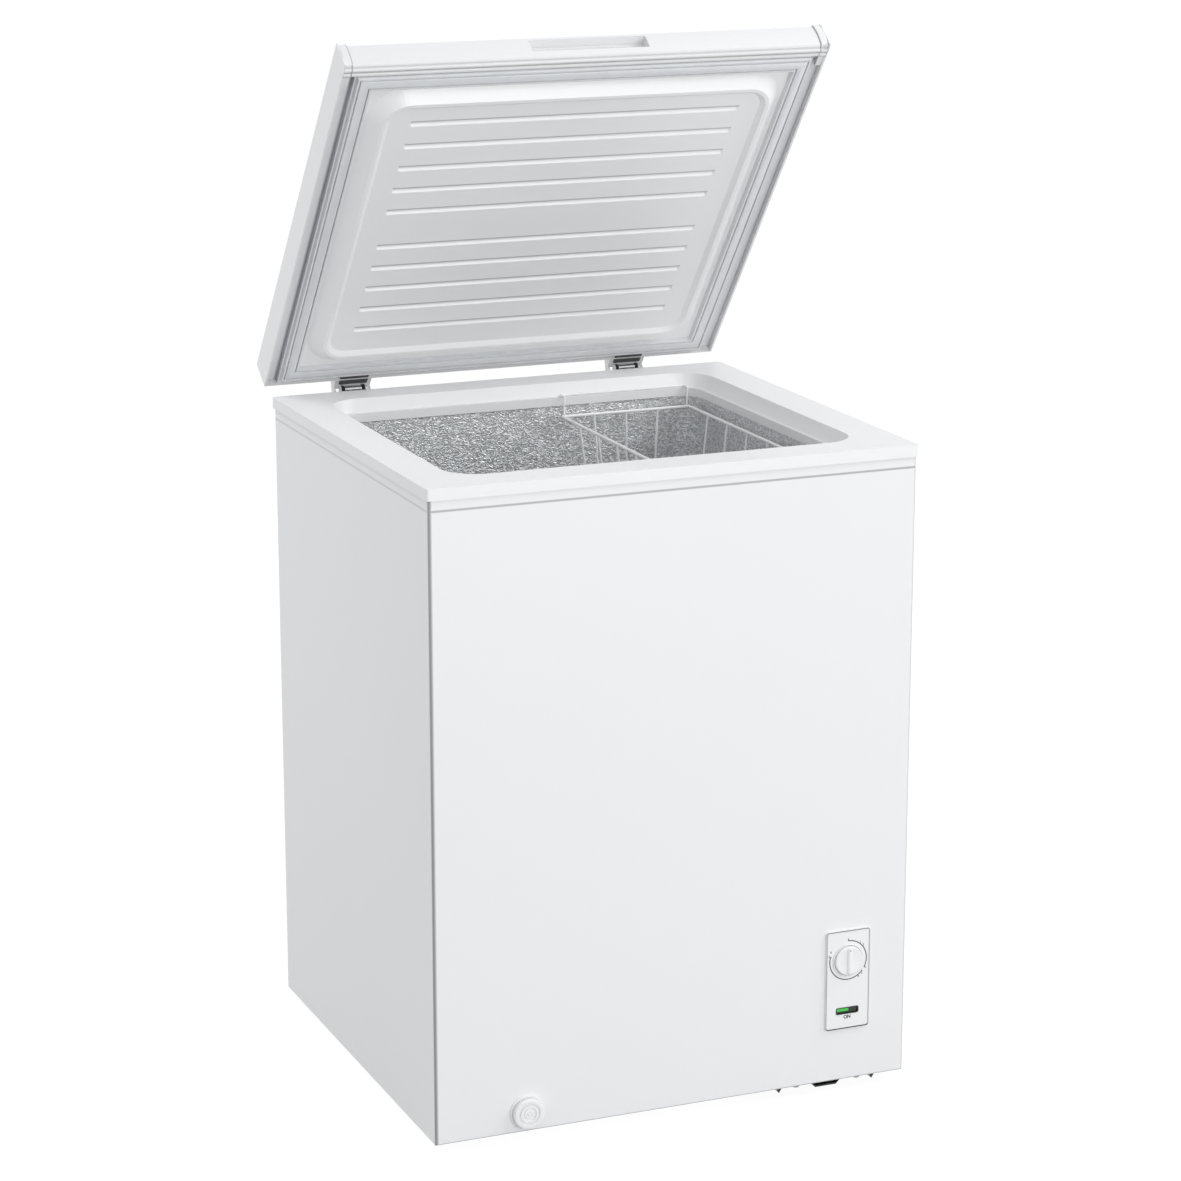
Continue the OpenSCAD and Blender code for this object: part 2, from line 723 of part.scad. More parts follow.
suction_bend = 2.5 * evap_r;
suction_out = 3 * suction_bend; // the loop behind the compressor
suction_rise = 50;

module suction_tube() {
    z = comp_z + 3 + comp_h * 0.7;
    x = tail_x - turn_gap;
    y = cab_d / 2 - evap_in;
    out = y + suction_out;
    up = z + suction_rise;
    color("peru") at_cab()
        tube(route([[x, shell_back(x, evap_r), z], [x, out, z], [x, out, up], [x, y, up],
            [x, y, bay_top - tail_low - gap]], suction_bend), evap_r);
}

module discharge_tube() {
    z = comp_z + 3 + comp_h * 0.35;
    x = cond_tail_x - turn_gap;
    y = cab_d / 2 - cond_in;
    color("peru") at_cab()
        tube(route([[x, shell_back(x, cond_r), z], [x, y, z], [x, y, bay_top - cond_low - gap]],
            cond_bend), cond_r);
}

drier_r = 9;                    // shell of the filter drier
drier_neck = 3;                 // radius of its ends
drier_len = 90;
drier_taper = 12;               // from the neck to the shell
drier_stub = 6;                 // straight part of the neck
drier_top = 20;                 // from the bay's roof
drier_back = 40;                // from the compressor's front
drier_side = 20;                // from the side panel
drier_y = comp_y - comp_r - drier_back;
drier_x = cab_w / 2 - drier_side;
drier_z = bay_top - drier_top - drier_len;

module filter_drier() {
    half = [[drier_neck, 0], [drier_neck, drier_stub], [drier_r, drier_stub + drier_taper]];
    color("peru") at_cab() translate([drier_x, drier_y, drier_z])
        rotate_extrude($fn = arc_fn)
            polygon(concat([[0, 0]], half, [for (i = [2 : -1 : 0]) [half[i][0], drier_len - half[i][1]]],
                [[0, drier_len]]));
}

capillary_drop = 20;            // the loop's depth under the drier
capillary_loop = 30;            // the loop's width

module capillary_tube() {
    z = drier_z - gap;
    low = z - capillary_drop;
    y = drier_y + capillary_loop;
    color("peru") at_cab()
        tube(route([[drier_x, drier_y, z], [drier_x, drier_y, low], [drier_x, y, low],
            [drier_x, y, bay_top - gap]], capillary_drop * 0.3), capillary_r);
}

module side_grille() {
    bars = 7;
    pitch = (grille_h - 8) / bars;
    color("whitesmoke") at_cab() translate([cab_w / 2, grille_y, grille_z]) difference() {
        union() {
            translate([1, 0, 0]) cube([2, grille_w + 10, grille_h + 10], center = true);
            translate([-2, 0, 0]) cube([4 + eps, grille_w - 2 * gap, grille_h - 2 * gap], center = true);
        }
        for (k = [0 : bars - 1])
            translate([0, 0, -grille_h / 2 + 4 + (k + 0.5) * pitch])
                cube([20, grille_w - 12, pitch / 2], center = true);
    }
}

cover_x0 = bay_x - 12;
cover_x1 = cab_w / 2 - 2 * hem_w - gap;

module rear_cover() {
    y0 = cab_d / 2 - skin_t;
    color("lightgray") at_cab() difference() {
        box([cover_x0, y0, z_edge + 2], [cover_x1, y0 + 1, bay_top + 12]);
        for (k = [0 : 7])
            translate([(cover_x0 + cover_x1) / 2, y0 - 1, z_edge + 60 + 18 * k])
                cube([90, 6, 6], center = true);
        translate([cover_x0 + 40, y0 - 1, z_edge + 30]) rod_y(8 + gap, 4);
        cover_screws(2.2, y0 - 1, 4);
    }
}

// Screws of the rear cover, along Y
module cover_screws(r, y, len) {
    for (p = [[cover_x0 + 5, bay_top + 6], [cover_x1 - 5, bay_top + 6], [cover_x0 + 5, z_edge + 14]])
        translate([p[0], y, p[1]]) rod_y(r, len);
}

// Screws of one hinge bracket, along Y
module bracket_screws(s, r, y, len) {
    for (x = [-12, 12])
        translate([s * hinge_x + x, y, bracket_low + 11]) rod_y(r, len);
}

module cabinet_screws() {
    y0 = cab_d / 2 - skin_t;
    color("silver") at_cab() {
        for (s = [-1, 1]) {
            bracket_screws(s, 2, y0 - 8, 10 + hinge_t);
            bracket_screws(s, 3.5, y0 + hinge_t + gap, 2);
        }
        cover_screws(2, y0 - 8, 11);
        cover_screws(3.5, y0 + 1 + gap, 2);
    }
}

module cord_gland() {
    y0 = cab_d / 2 - skin_t;
    color("black") at_cab() translate([cover_x0 + 40, y0, z_edge + 30]) difference() {
        union() {
            translate([0, -4, 0]) rod_y(8, 12);
            translate([0, 1 + gap, 0]) rod_y(12, 3);
            translate([0, -3 - gap, 0]) rod_y(11, 3);
        }
        translate([0, -10, 0]) rod_y(4, 30);
    }
}

module feet() {
    color("black") at_cab()
        for (x = [-1, 1], y = [-1, 1])
            translate([x * (cab_w / 2 - foot_side), y * (cab_d / 2 - foot_end), 0]) {
                cylinder(r1 = foot_r - 2, r2 = foot_r, h = 4, $fn = arc_fn);
                translate([0, 0, 4 - eps]) cylinder(r = foot_r - 4, h = foot_h + skin_t - 4, $fn = arc_fn);
            }
}

// ---- Controls ----

module control_panel() {
    y0 = -cab_d / 2 - panel_t;
    color("white") at_cab() difference() {
        translate([ctl_x, -cab_d / 2, ctl_z]) rotate([90, 0, 0])
            linear_extrude(panel_t) round_rect(panel_w, panel_h, 4);
        translate([ctl_x, y0 - 1, dial_z]) rod_y(shaft_r + 1, panel_t + 2);
        translate([ctl_x, y0, ctl_z - lamp_down]) cube([lamp_w, 4 * panel_t, lamp_h], center = true);
    }
}

body_t = 26;
body_h = 52;

module thermostat() {
    y0 = -cab_d / 2 + skin_t;
    color("whitesmoke") at_cab() difference() {
        box([ctl_x - 18, y0, dial_z - body_h / 2], [ctl_x + 18, y0 + body_t, dial_z + body_h / 2]);
        translate([ctl_x, y0 - 1, dial_z]) rod_y(shaft_r + fit, body_t - 4);
    }
}

module thermostat_sensor() {
    color("peru") at_cab()
        translate([ctl_x, sensor_y, dial_z + body_h / 2])
            cylinder(r = sensor_r, h = step_z - liner_t - gap - dial_z - body_h / 2, $fn = 24);
}

module lamp_housing() {
    y0 = -cab_d / 2 + skin_t;
    color("dimgray") at_cab() translate([ctl_x, 0, ctl_z - lamp_down]) difference() {
        translate([0, y0 + 8, 0]) cube([lamp_w + 8, 16, lamp_h + 8], center = true);
        translate([0, y0 + 6, 0]) cube([lamp_w - 1, 16, lamp_h - 1], center = true);
    }
}

module lamp_lens() {
    y0 = -cab_d / 2 - panel_t + 1;
    y1 = -cab_d / 2 + skin_t - gap;
    color("limegreen") at_cab() translate([ctl_x, 0, ctl_z - lamp_down])
        box([-lamp_w / 2 + gap, y0, -lamp_h / 2 + gap], [lamp_w / 2 - gap, y1, lamp_h / 2 - gap]);
}

module thermostat_dial() {
    y1 = -cab_d / 2 - panel_t - gap;
    color("white") at_cab() translate([ctl_x, 0, dial_z]) {
        translate([0, y1, 0]) rotate([90, 0, 0])
            cylinder(r1 = dial_r, r2 = dial_r - 1, h = dial_t - gap, $fn = 64);
        translate([0, y1 - dial_t + gap + eps, 0]) rotate([90, 0, 0]) linear_extrude(grip_h) {
            square([7, 2 * dial_r - 12], center = true);
            for (z = [-1, 1]) translate([0, z * (dial_r - 6)]) circle(3.5, $fn = 32);
        }
        translate([0, y1 - 1, 0]) rod_y(shaft_r, panel_t + skin_t + gap + 20);
    }
}

// ---- Drain ----

module drain_pipe() {
    y0 = -cab_d / 2;
    color("whitesmoke") at_cab() difference() {
        union() {
            translate([drain_x, y0, drain_z]) rod_y(pipe_r, drain_back + pipe_r);
            translate([drain_x, drain_y, drain_z])
                cylinder(r = pipe_r, h = floor_z - liner_t - gap - drain_z, $fn = arc_fn);
        }
        translate([drain_x, y0 - 1, drain_z]) rod_y(pipe_bore, drain_back + 1);
        translate([drain_x, drain_y, drain_z]) cylinder(r = pipe_bore, h = floor_t, $fn = arc_fn);
    }
}

module drain_collar() {
    y0 = -cab_d / 2;
    color("white") at_cab() translate([drain_x, y0, drain_z]) difference() {
        translate([0, -2, 0]) rod_y(collar_r, 2);
        translate([0, -3, 0]) rod_y(pipe_bore + 1, 10);
    }
}

spout_r = pipe_bore - gap;
spout_wall = 1.7;
spout_len = 60;
outlet_y = 12;
outlet_r = 4;

// Tube that pulls out of the drain pipe, with its outlet underneath
module drain_spout() {
    y0 = -cab_d / 2 - 2 - gap;
    color("whitesmoke") at_cab() translate([drain_x, y0, drain_z]) difference() {
        rod_y(spout_r, spout_len);
        translate([0, -1, 0]) rod_y(spout_r - spout_wall, spout_len + 2);
        translate([0, outlet_y, -20]) cylinder(r = outlet_r, h = 20, $fn = 24);
    }
}

// Turning cap; the hole in its sleeve meets the spout's outlet when it is turned half round
module drain_cap() {
    y1 = -cab_d / 2 - 2 - 2 * gap;
    sleeve = spout_r - spout_wall - gap;
    color("white") at_cab() translate([drain_x, y1, drain_z]) {
        rotate([90, 0, 0]) difference() {
            cylinder(r1 = cap_r, r2 = cap_r - 1, h = cap_t, $fn = 64);
            translate([0, 0, cap_t - 1]) difference() {
                cylinder(r = cap_r - 4, h = 2, $fn = arc_fn);
                cylinder(r = cap_r - 6, h = 3, center = true, $fn = arc_fn);
            }
            translate([0, 0, cap_t - 1.5]) cylinder(r = 5, h = 2, $fn = arc_fn);
        }
        difference() {
            translate([0, -1, 0]) rod_y(sleeve, 2 * outlet_y);
            translate([0, eps, 0]) rod_y(sleeve - 1.5, 3 * outlet_y);
            translate([0, outlet_y + gap, 0]) cylinder(r = outlet_r, h = 20, $fn = 24);
        }
    }
}

module drain_plug() {
    color("gray") at_cab() translate([drain_x, drain_y, floor_z]) {
        translate([0, 0, gap]) cylinder(r = pipe_bore + 6, h = 3, $fn = arc_fn);
        translate([0, 0, -10]) cylinder(r = pipe_bore - gap, h = 12, $fn = arc_fn);
        translate([0, 0, 3]) cylinder(r = 3, h = 9, $fn = arc_fn);
    }
}

// ---- Hinges ----

cheek_r = 8;
shelf_z = pin_z - spring_h;
bracket_low = shelf_z - 22;
lid_max = 75;                       // widest angle of the lid

// Height of the cam's centre above the pin with the lid at angle a
function cam_rise(a) = cam_off * sin(a - lid_max / 2);

cam_gap = 0.45;                     // running gap of the cam over the plunger, at rest
cup_top = pin_z + cam_rise(lid_open) - cam_r - cam_gap;
cup_drop = cam_rise(lid_open) - cam_rise(0);
cup_h = 12;
cup_wall = 1;
cup_y = pin_y - 5;

module hinge_bracket(s) {
    y0 = cab_d / 2 - skin_t;
    color("silver") at_cab() translate([s * hinge_x, 0, 0]) difference() {
        union() {
            box([-bracket_w / 2, y0, bracket_low], [bracket_w / 2, y0 + hinge_t, pin_z]);
            for (x = [-1, 1]) translate([x * (bracket_w - hinge_t) / 2, 0, 0]) {
                box([-hinge_t / 2, y0, shelf_z], [hinge_t / 2, pin_y + cheek_r, pin_z]);
                translate([0, pin_y, pin_z]) rod_x(cheek_r, hinge_t);
            }
            box([-bracket_w / 2, y0, shelf_z], [bracket_w / 2, pin_y + cheek_r, shelf_z + hinge_t]);
        }
        translate([0, pin_y, pin_z]) rod_x(pin_r + fit, bracket_w + 2);
        translate([-s * hinge_x, 0, 0]) bracket_screws(s, 2.2, y0 - 1, hinge_t + 2);
    }
}

module hinge_bracket_left() {
    hinge_bracket(-1);
}

module hinge_bracket_right() {
    hinge_bracket(1);
}

pin_len = bracket_w + 2 * (hinge_t + 2 * gap);

module hinge_pins() {
    color("silver") at_cab()
        for (s = [-1, 1]) translate([s * hinge_x, pin_y, pin_z]) {
            rod_x(pin_r, pin_len);
            for (x = [-1, 1]) translate([x * (pin_len + 2) / 2, 0, 0]) rod_x(pin_r + 2, 2 + eps);
        }
}

// Black bushes on the pins, between the cam and the bracket's cheeks
module hinge_spacers() {
    len = bracket_w / 2 - hinge_t - cam_w / 2 - 2 * gap;
    color("black") at_cab()
        for (s = [-1, 1], x = [-1, 1])
            translate([s * hinge_x + x * (cam_w / 2 + gap + len / 2), pin_y, pin_z]) difference() {
                rod_x(pin_r + 2, len);
                rod_x(pin_r + fit, len + 2);
            }
}

spring_z0 = shelf_z + hinge_t;
spring_top = cup_top - cup_wall - cup_drop - gap;

module hinge_springs() {
    turns = 6;
    steps = 12;
    rise = spring_top - spring_z0 - spring_wire;
    color("gray") at_cab()
        for (s = [-1, 1]) translate([s * hinge_x, cup_y, spring_z0 + spring_wire / 2])
            tube([for (i = [0 : turns * steps])
                [spring_r * cos(360 * i / steps), spring_r * sin(360 * i / steps),
                    rise * i / (turns * steps)]],
                spring_wire / 2, 6);
}

// Cup that the cam presses down on the spring; it hides the spring's upper end
module hinge_plunger(s) {
    bore = spring_r + spring_wire / 2 + gap;
    color("black") at_cab() translate([s * hinge_x, cup_y, cup_top - cup_h]) difference() {
        cylinder(r = bore + cup_wall, h = cup_h, $fn = arc_fn);
        translate([0, 0, -1]) cylinder(r = bore, h = cup_h - cup_wall + 1, $fn = arc_fn);
    }
}

module hinge_plunger_left() {
    hinge_plunger(-1);
}

module hinge_plunger_right() {
    hinge_plunger(1);
}

// ---- Lid, drawn closed and turned open ----

// Steel skin of the lid: top, two sides and rear, with a folded bottom edge
module lid_skin() {
    t = lid_skin_t;
    color("gainsboro") on_lid() difference() {
        union() {
            difference() {
                box([-lid_w / 2, lid_y0 + gap, lid_z0], [lid_w / 2, lid_y1, lid_z1]);
                box([-lid_w / 2 + t, -cab_d, lid_z0 - 1], [lid_w / 2 - t, lid_y1 - t, lid_z1 - t]);
                box([-lid_w / 2 + t, -cab_d, lid_z0 - 1], [lid_w / 2 - t, lid_y0 + lip_d, lid_z1 + 1]);
            }
            for (s = [-1, 1])
                translate([s * (lid_w / 2 - lid_fold / 2), (lid_y0 + trim_d + lid_y1) / 2, lid_z0 + t / 2])
                    cube([lid_fold, lid_y1 - lid_y0 - trim_d, t], center = true);
        }
        for (s = [-1, 1]) leaf_screws(s, 2.2, lid_y1 - 5, 10);
    }
}

function arc(c, r, a0, a1) = [for (k = [0 : 8]) let (a = a0 + (a1 - a0) * k / 8) c + r * [cos(a), sin(a)]];

trim_bead = 3;          // radius of the two beads under the front trim
bead_gap = 0.8;         // groove between the beads
face_bulge = 1.4;       // bulge of the trim's front face
face_top_r = 4;         // radius of the trim's top edge
face_low_r = 5;         // radius of the trim's bottom edge
cap_proud = 1.2;        // how far the end caps stand proud of the trim
cap_tail = 14;          // length of the end caps' tails under the channels

// Bulged front face of the trim between its rounded edges, inset by p
function trim_face(p) = let (z0 = trim_bead + face_low_r, z1 = lid_h - p - face_top_r)
    [for (k = [-3 : 3]) let (f = k / 4) [p + face_bulge * f * f, (z0 + z1 + f * (z1 - z0)) / 2]];

// Side outline of the front trim, from the lid's front bottom edge: y across, z up
function trim_outline(p) = concat(
    arc([p + face_bulge + face_top_r, lid_h - p - face_top_r], face_top_r, 180, 90),
    [[lip_d - gap, lid_h - p], [lip_d - gap, lid_h - lid_skin_t - gap],
        [trim_d - gap, lid_h - lid_skin_t - gap]],
    arc([trim_d - gap - trim_bead, trim_bead], trim_bead, 360, 180),
    arc([trim_d - gap - 3 * trim_bead - bead_gap, trim_bead], trim_bead, 360, 180),
    arc([p + face_bulge + face_low_r, trim_bead + face_low_r], face_low_r, 270, 180),
    trim_face(p));

module trim_bar(x0, x1, p) {
    translate([x0, lid_y0, lid_z0])
        rotate([90, 0, 90])
            linear_extrude(x1 - x0) polygon(trim_outline(p));
}

module lid_front_trim() {
    x1 = lid_w / 2 - lid_skin_t - end_w - gap;
    high = lid_h - cap_proud - pull_top;
    color("white") on_lid() difference() {
        trim_bar(-x1, x1, cap_proud);
        translate([-pull_w / 2, lid_y0, lid_z0]) rotate([90, 0, 90]) linear_extrude(pull_w)
            polygon([[-1, high], [pull_d - 1, high - 1.5], [pull_d, high - 4],
                [3, pull_low + 1], [-1, pull_low - 0.5]]);
    }
}

// End cap from x0 to x1, with a tail under the channel beside it
module lid_end_cap(x0, x1) {
    trim_bar(x0, x1, 0);
    box([x0, lid_y0 + lip_d, lid_z0 + lid_skin_t + gap],
        [x1, lid_y0 + trim_d + cap_tail, lid_z0 + margin_up - gap]);
}

module lid_end_cap_left() {
    x0 = -lid_w / 2 + lid_skin_t + gap;
    color("whitesmoke") on_lid() lid_end_cap(x0, x0 + end_w - gap);
}

module lid_end_cap_right() {
    x1 = lid_w / 2 - lid_skin_t - gap;
    color("whitesmoke") on_lid() lid_end_cap(x1 - end_w + gap, x1);
}

// Slab over the lid's plan, inset from the ridge's foot by i, from z0 to z1
module ridge_slab(i, z0, z1) {
    x = lid_w / 2 - ridge_side - i;
    y0 = lid_y0 + ridge_front + i;
    y1 = lid_y1 - ridge_rear - i;
    translate([0, (y0 + y1) / 2, z0]) linear_extrude(z1 - z0)
        round_rect(2 * x, y1 - y0, max(ridge_r - i, 8));
}

channel_x = lid_w / 2 - seal_side + 3;      // inner wall of the channels, beside the gasket

// The lid's underside form, filled up to its steel skin and shrunk upwards by t
module lid_form(t) {
    top = lid_z1 - lid_skin_t;
    panel_z = crest_z + panel_deep + t;
    panel_i = ridge_run + ridge_crest - t;
    x1 = lid_w / 2 - lid_skin_t - gap;
    difference() {
        union() {
            box([-x1, lid_y0 + trim_d, margin_z + t], [x1, lid_y1 - lid_skin_t - gap, top]);
            hull() {
                ridge_slab(t, margin_z + t, margin_z + t + 1);
                ridge_slab(ridge_run + t, crest_z + t, crest_z + t + eps);
            }
        }
        for (s = [-1, 1])
            box([s > 0 ? channel_x - t : -lid_w, -cab_d, margin_z - 1],
                [s > 0 ? lid_w : t - channel_x, cab_d, margin_z + channel_up + t]);
        hull() {
            ridge_slab(panel_i, crest_z - 1, crest_z + t);
            ridge_slab(panel_i + ridge_inner, panel_z - 1, panel_z);
        }
        grooves(t, panel_z);
    }
}

// Stiffening grooves above the panel's face at z, each with sloped walls and round ends
module grooves(t, z) {
    mid = (lid_y0 + ridge_front + lid_y1 - ridge_rear) / 2 - groove_shift;
    x = (groove_len - groove_w) / 2;
    r0 = groove_w / 2 + t;
    r1 = groove_floor / 2 + t;
    low = z - 0.5;
    high = z + groove_deep;
    for (s = [-1, 1], k = [0 : groove_count - 1])
        translate([0, mid + s * (groove_gap / 2 + k * groove_pitch), 0]) {
            translate([-x, 0, 0]) rotate([90, 0, 90]) linear_extrude(2 * x)
                polygon([[-r0, low], [r0, low], [r0, z], [r1, high], [-r1, high], [-r0, z]]);
            for (e = [-x, x]) translate([e, 0, z]) {
                translate([0, 0, -0.5]) cylinder(h = 0.5, r = r0, $fn = arc_fn);
                cylinder(h = groove_deep, r1 = r0, r2 = r1, $fn = arc_fn);
            }
        }
}

module lid_liner() {
    color("gainsboro") on_lid() difference() {
        lid_form(0);
        lid_form(lid_liner_t);
    }
}

module lid_insulation() {
    color("khaki") on_lid() difference() {
        lid_form(lid_liner_t);
        for (s = [-1, 1]) leaf_screws(s, 2.2, lid_y1 - 12, 20);
    }
}

// Frame of square corners around the lid's underside, inset by i from the gasket's outer edge
module seal_frame(i, w, z0, z1) {
    x = lid_w / 2 - seal_side - i;
    y0 = lid_y0 + seal_front + i;
    y1 = lid_y1 - seal_rear - i;
    difference() {
        box([-x, y0, z0], [x, y1, z1]);
        box([-x + w, y0 + w, z0 - 1], [x - w, y1 - w, z1 + 1]);
    }
}

module lid_gasket() {
    z0 = z_rim + gap;
    color("white") on_lid() difference() {
        seal_frame(0, seal_w, z0, margin_z);
        seal_frame((seal_w - magnet_w) / 2 - gap, magnet_w + 2 * gap, z0 + 1, z0 + 1 + magnet_h + 2 * gap);
    }
}

module gasket_magnets() {
    z0 = z_rim + 1 + 2 * gap;
    color("dimgray") on_lid() seal_frame((seal_w - magnet_w) / 2, magnet_w, z0, z0 + magnet_h);
}

leaf_in = bracket_w / 2 + gap;
leaf_low = lid_z0 + 2;
leaf_high = leaf_low + 30;

// Cheek of a hinge leaf: y across, z up
function cheek_outline() = [[pin_y - cheek_r, pin_z], [pin_y - cheek_r, leaf_low],
    [lid_y1 + gap / 2, leaf_low], [lid_y1 + gap / 2, leaf_high], [lid_y1 + 4, leaf_high],
    [pin_y + cheek_r, leaf_low - 4], [pin_y + cheek_r, pin_z]];

module hinge_leaf(s) {
    y0 = lid_y1 + gap / 2;
    w = leaf_in + hinge_t;
    color("whitesmoke") on_lid() translate([s * hinge_x, 0, 0]) difference() {
        union() {
            for (x = [-1, 1]) translate([x * (leaf_in + hinge_t / 2) - hinge_t / 2, 0, 0]) {
                rotate([90, 0, 90]) linear_extrude(hinge_t) polygon(cheek_outline());
                translate([hinge_t / 2, pin_y, pin_z]) rod_x(cheek_r, hinge_t);
            }
            box([-w, y0, leaf_low], [w, y0 + hinge_t, leaf_high]);
            box([-w, y0, leaf_low], [w, pin_y - cheek_r + 2, leaf_low + hinge_t]);
        }
        translate([0, pin_y, pin_z]) rod_x(pin_r + fit, 2 * w + 2);
        translate([-s * hinge_x, 0, 0]) leaf_screws(s, 2.2, lid_y1 - 5, 20);
    }
}

module hinge_leaf_right() {
    hinge_leaf(1);
}

module hinge_leaf_left() {
    hinge_leaf(-1);
}

leaf_screw_x = 14;      // distance of a leaf's screws from its middle
leaf_screw_up = 20;     // height of the screws above the leaf's bottom edge

// Screws of one hinge leaf, along Y
module leaf_screws(s, r, y, len) {
    for (x = [-leaf_screw_x, leaf_screw_x])
        translate([s * hinge_x + x, y, leaf_low + leaf_screw_up]) rod_y(r, len);
}

// Cams under the leaves, between the bracket's cheeks
module hinge_cams() {
    a = -lid_max / 2;
    color("silver") on_lid() for (s = [-1, 1]) translate([s * hinge_x, pin_y, 0]) difference() {
        union() {
            translate([0, -cam_off * cos(a), pin_z + cam_off * sin(a)]) rod_x(cam_r, cam_w);
            box([-cam_w / 2, -11, pin_z], [cam_w / 2, 4, leaf_low]);
        }
        translate([0, 0, pin_z]) rod_x(pin_r + fit, cam_w + 2);
    }
}

module lid_screws() {
    y = lid_y1 + gap / 2 + hinge_t;
    color("silver") on_lid() for (s = [-1, 1]) {
        leaf_screws(s, 2, y - 12, 12);
        leaf_screws(s, 4, y, 2);
    }
}

// ---- Basket ----

ring_z = z_rim - basket_drop;
basket_z = ring_z - basket_h;
basket_in = band_in + basket_gap + wire_d / 2;
basket_x1 = cab_w / 2 - band_in - basket_gap - 4.5 - wire_d / 2;
basket_x0 = basket_x1 - basket_w + wire_d;
// The ring's corners stay clear of the liner's rounded ones
ring_reach = liner_r - wire_d / 2 - gap;
ring_dx = max(0, basket_x1 - cab_w / 2 + wall_t + liner_r);
basket_y = min(cab_d / 2 - basket_in,
    cab_d / 2 - wall_t - liner_r + sqrt(max(0, pow(ring_reach, 2) - pow(ring_dx, 2))));
hang_x = 3;
hang_in = ledge_in + bar_d / 2 + 1;
hang_z = ledge_z + bar_d / 2 + gap;
low_d = bar_d + 0.8;

// Corner of the basket: i and j are 0 or 1 for left or right and front or back
function basket_top(i, j) = [i == 0 ? basket_x0 : basket_x1, j == 0 ? -basket_y : basket_y, ring_z];
function basket_low(i, j) = [i == 0 ? basket_x0 + basket_lean : basket_x1 - basket_lean,
    (j == 0 ? -1 : 1) * (basket_y - basket_lean_y), basket_z];

// One wall of the basket between two corners: its top and bottom wires and n bars
module basket_wall(a, b, a_low, b_low, n, cut) {
    u = unit(b - a);
    rod(a + cut * u, b - cut * u, wire_d);
    rod(a_low + cut * u, b_low - cut * u, low_d);
    for (k = [1 : n]) {
        f = k / (n + 1);
        rod(a + f * (b - a), a_low + f * (b_low - a_low), bar_d);
    }
}

// Hanger on the front or back wall: a hoop whose top lies on the ledge
module hanger(side) {
    y = side * basket_y;
    yh = side * (cab_d / 2 - hang_in);
    for (x = [basket_x0 + hang_x, basket_x1 - hang_x]) {
        rod([x, y, ring_z], [x, y, hang_z], bar_d);
        rod([x, y, hang_z], [x, yh, hang_z], bar_d);
        translate([x, y, hang_z]) sphere(d = bar_d, $fn = 24);
        translate([x, yh, hang_z]) sphere(d = bar_d, $fn = 24);
    }
    rod([basket_x0 + hang_x, yh, hang_z], [basket_x1 - hang_x, yh, hang_z], bar_d);
}

module basket_front() {
    color("white") at_cab() {
        basket_wall(basket_top(0, 0), basket_top(1, 0), basket_low(0, 0), basket_low(1, 0), bars_x, 0);
        hanger(-1);
    }
}

module basket_back() {
    color("white") at_cab() {
        basket_wall(basket_top(0, 1), basket_top(1, 1), basket_low(0, 1), basket_low(1, 1), bars_x, 0);
        hanger(1);
    }
}

module basket_left() {
    color("white") at_cab()
        basket_wall(basket_top(0, 0), basket_top(0, 1), basket_low(0, 0), basket_low(0, 1), bars_y,
            wire_d / 2 + gap);
}

module basket_right() {
    color("white") at_cab()
        basket_wall(basket_top(1, 0), basket_top(1, 1), basket_low(1, 0), basket_low(1, 1), bars_y,
            wire_d / 2 + gap);
}

module basket_floor() {
    a = basket_low(0, 0);
    b = basket_low(1, 1);
    r = bar_d / 2;
    inset = low_d / 2 + gap / 2;
    color("white") at_cab() {
        for (k = [1 : bars_x]) {
            x = a[0] + k / (bars_x + 1) * (b[0] - a[0]);
            rod([x, a[1] + inset, basket_z], [x, b[1] - inset, basket_z], bar_d);
        }
        for (k = [1 : bars_y]) {
            y = a[1] + k / (bars_y + 1) * (b[1] - a[1]);
            rod([a[0] + inset, y, basket_z], [b[0] - inset, y, basket_z], bar_d);
        }
    }
}

front_panel();
left_side_panel();
right_side_panel();
back_panel();
base_panel();
bay_panel();
insulation();
inner_liner();
top_frame();
evaporator_tube();
condenser_tube();
compressor_base();
compressor();
compressor_grommets();
compressor_studs();
terminal_cover();
suction_tube();
discharge_tube();
filter_drier();
capillary_tube();
thermostat();
thermostat_sensor();
control_panel();
lamp_housing();
lamp_lens();
side_grille();
rear_cover();
cabinet_screws();
cord_gland();
feet();
drain_pipe();
drain_collar();
hinge_bracket_left();
hinge_bracket_right();
hinge_pins();
hinge_spacers();
hinge_springs();
hinge_plunger_left();
hinge_plunger_right();
lid_skin();
lid_front_trim();
lid_end_cap_left();
lid_end_cap_right();
lid_insulation();
lid_liner();
lid_gasket();
gasket_magnets();
hinge_leaf_left();
hinge_leaf_right();
hinge_cams();
lid_screws();
basket_front();
basket_back();
basket_left();
basket_right();
basket_floor();
thermostat_dial();
drain_spout();
drain_cap();
drain_plug();
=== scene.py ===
import json
from math import cos, hypot, pi, radians, sin

import bpy
from mathutils import Matrix, Vector


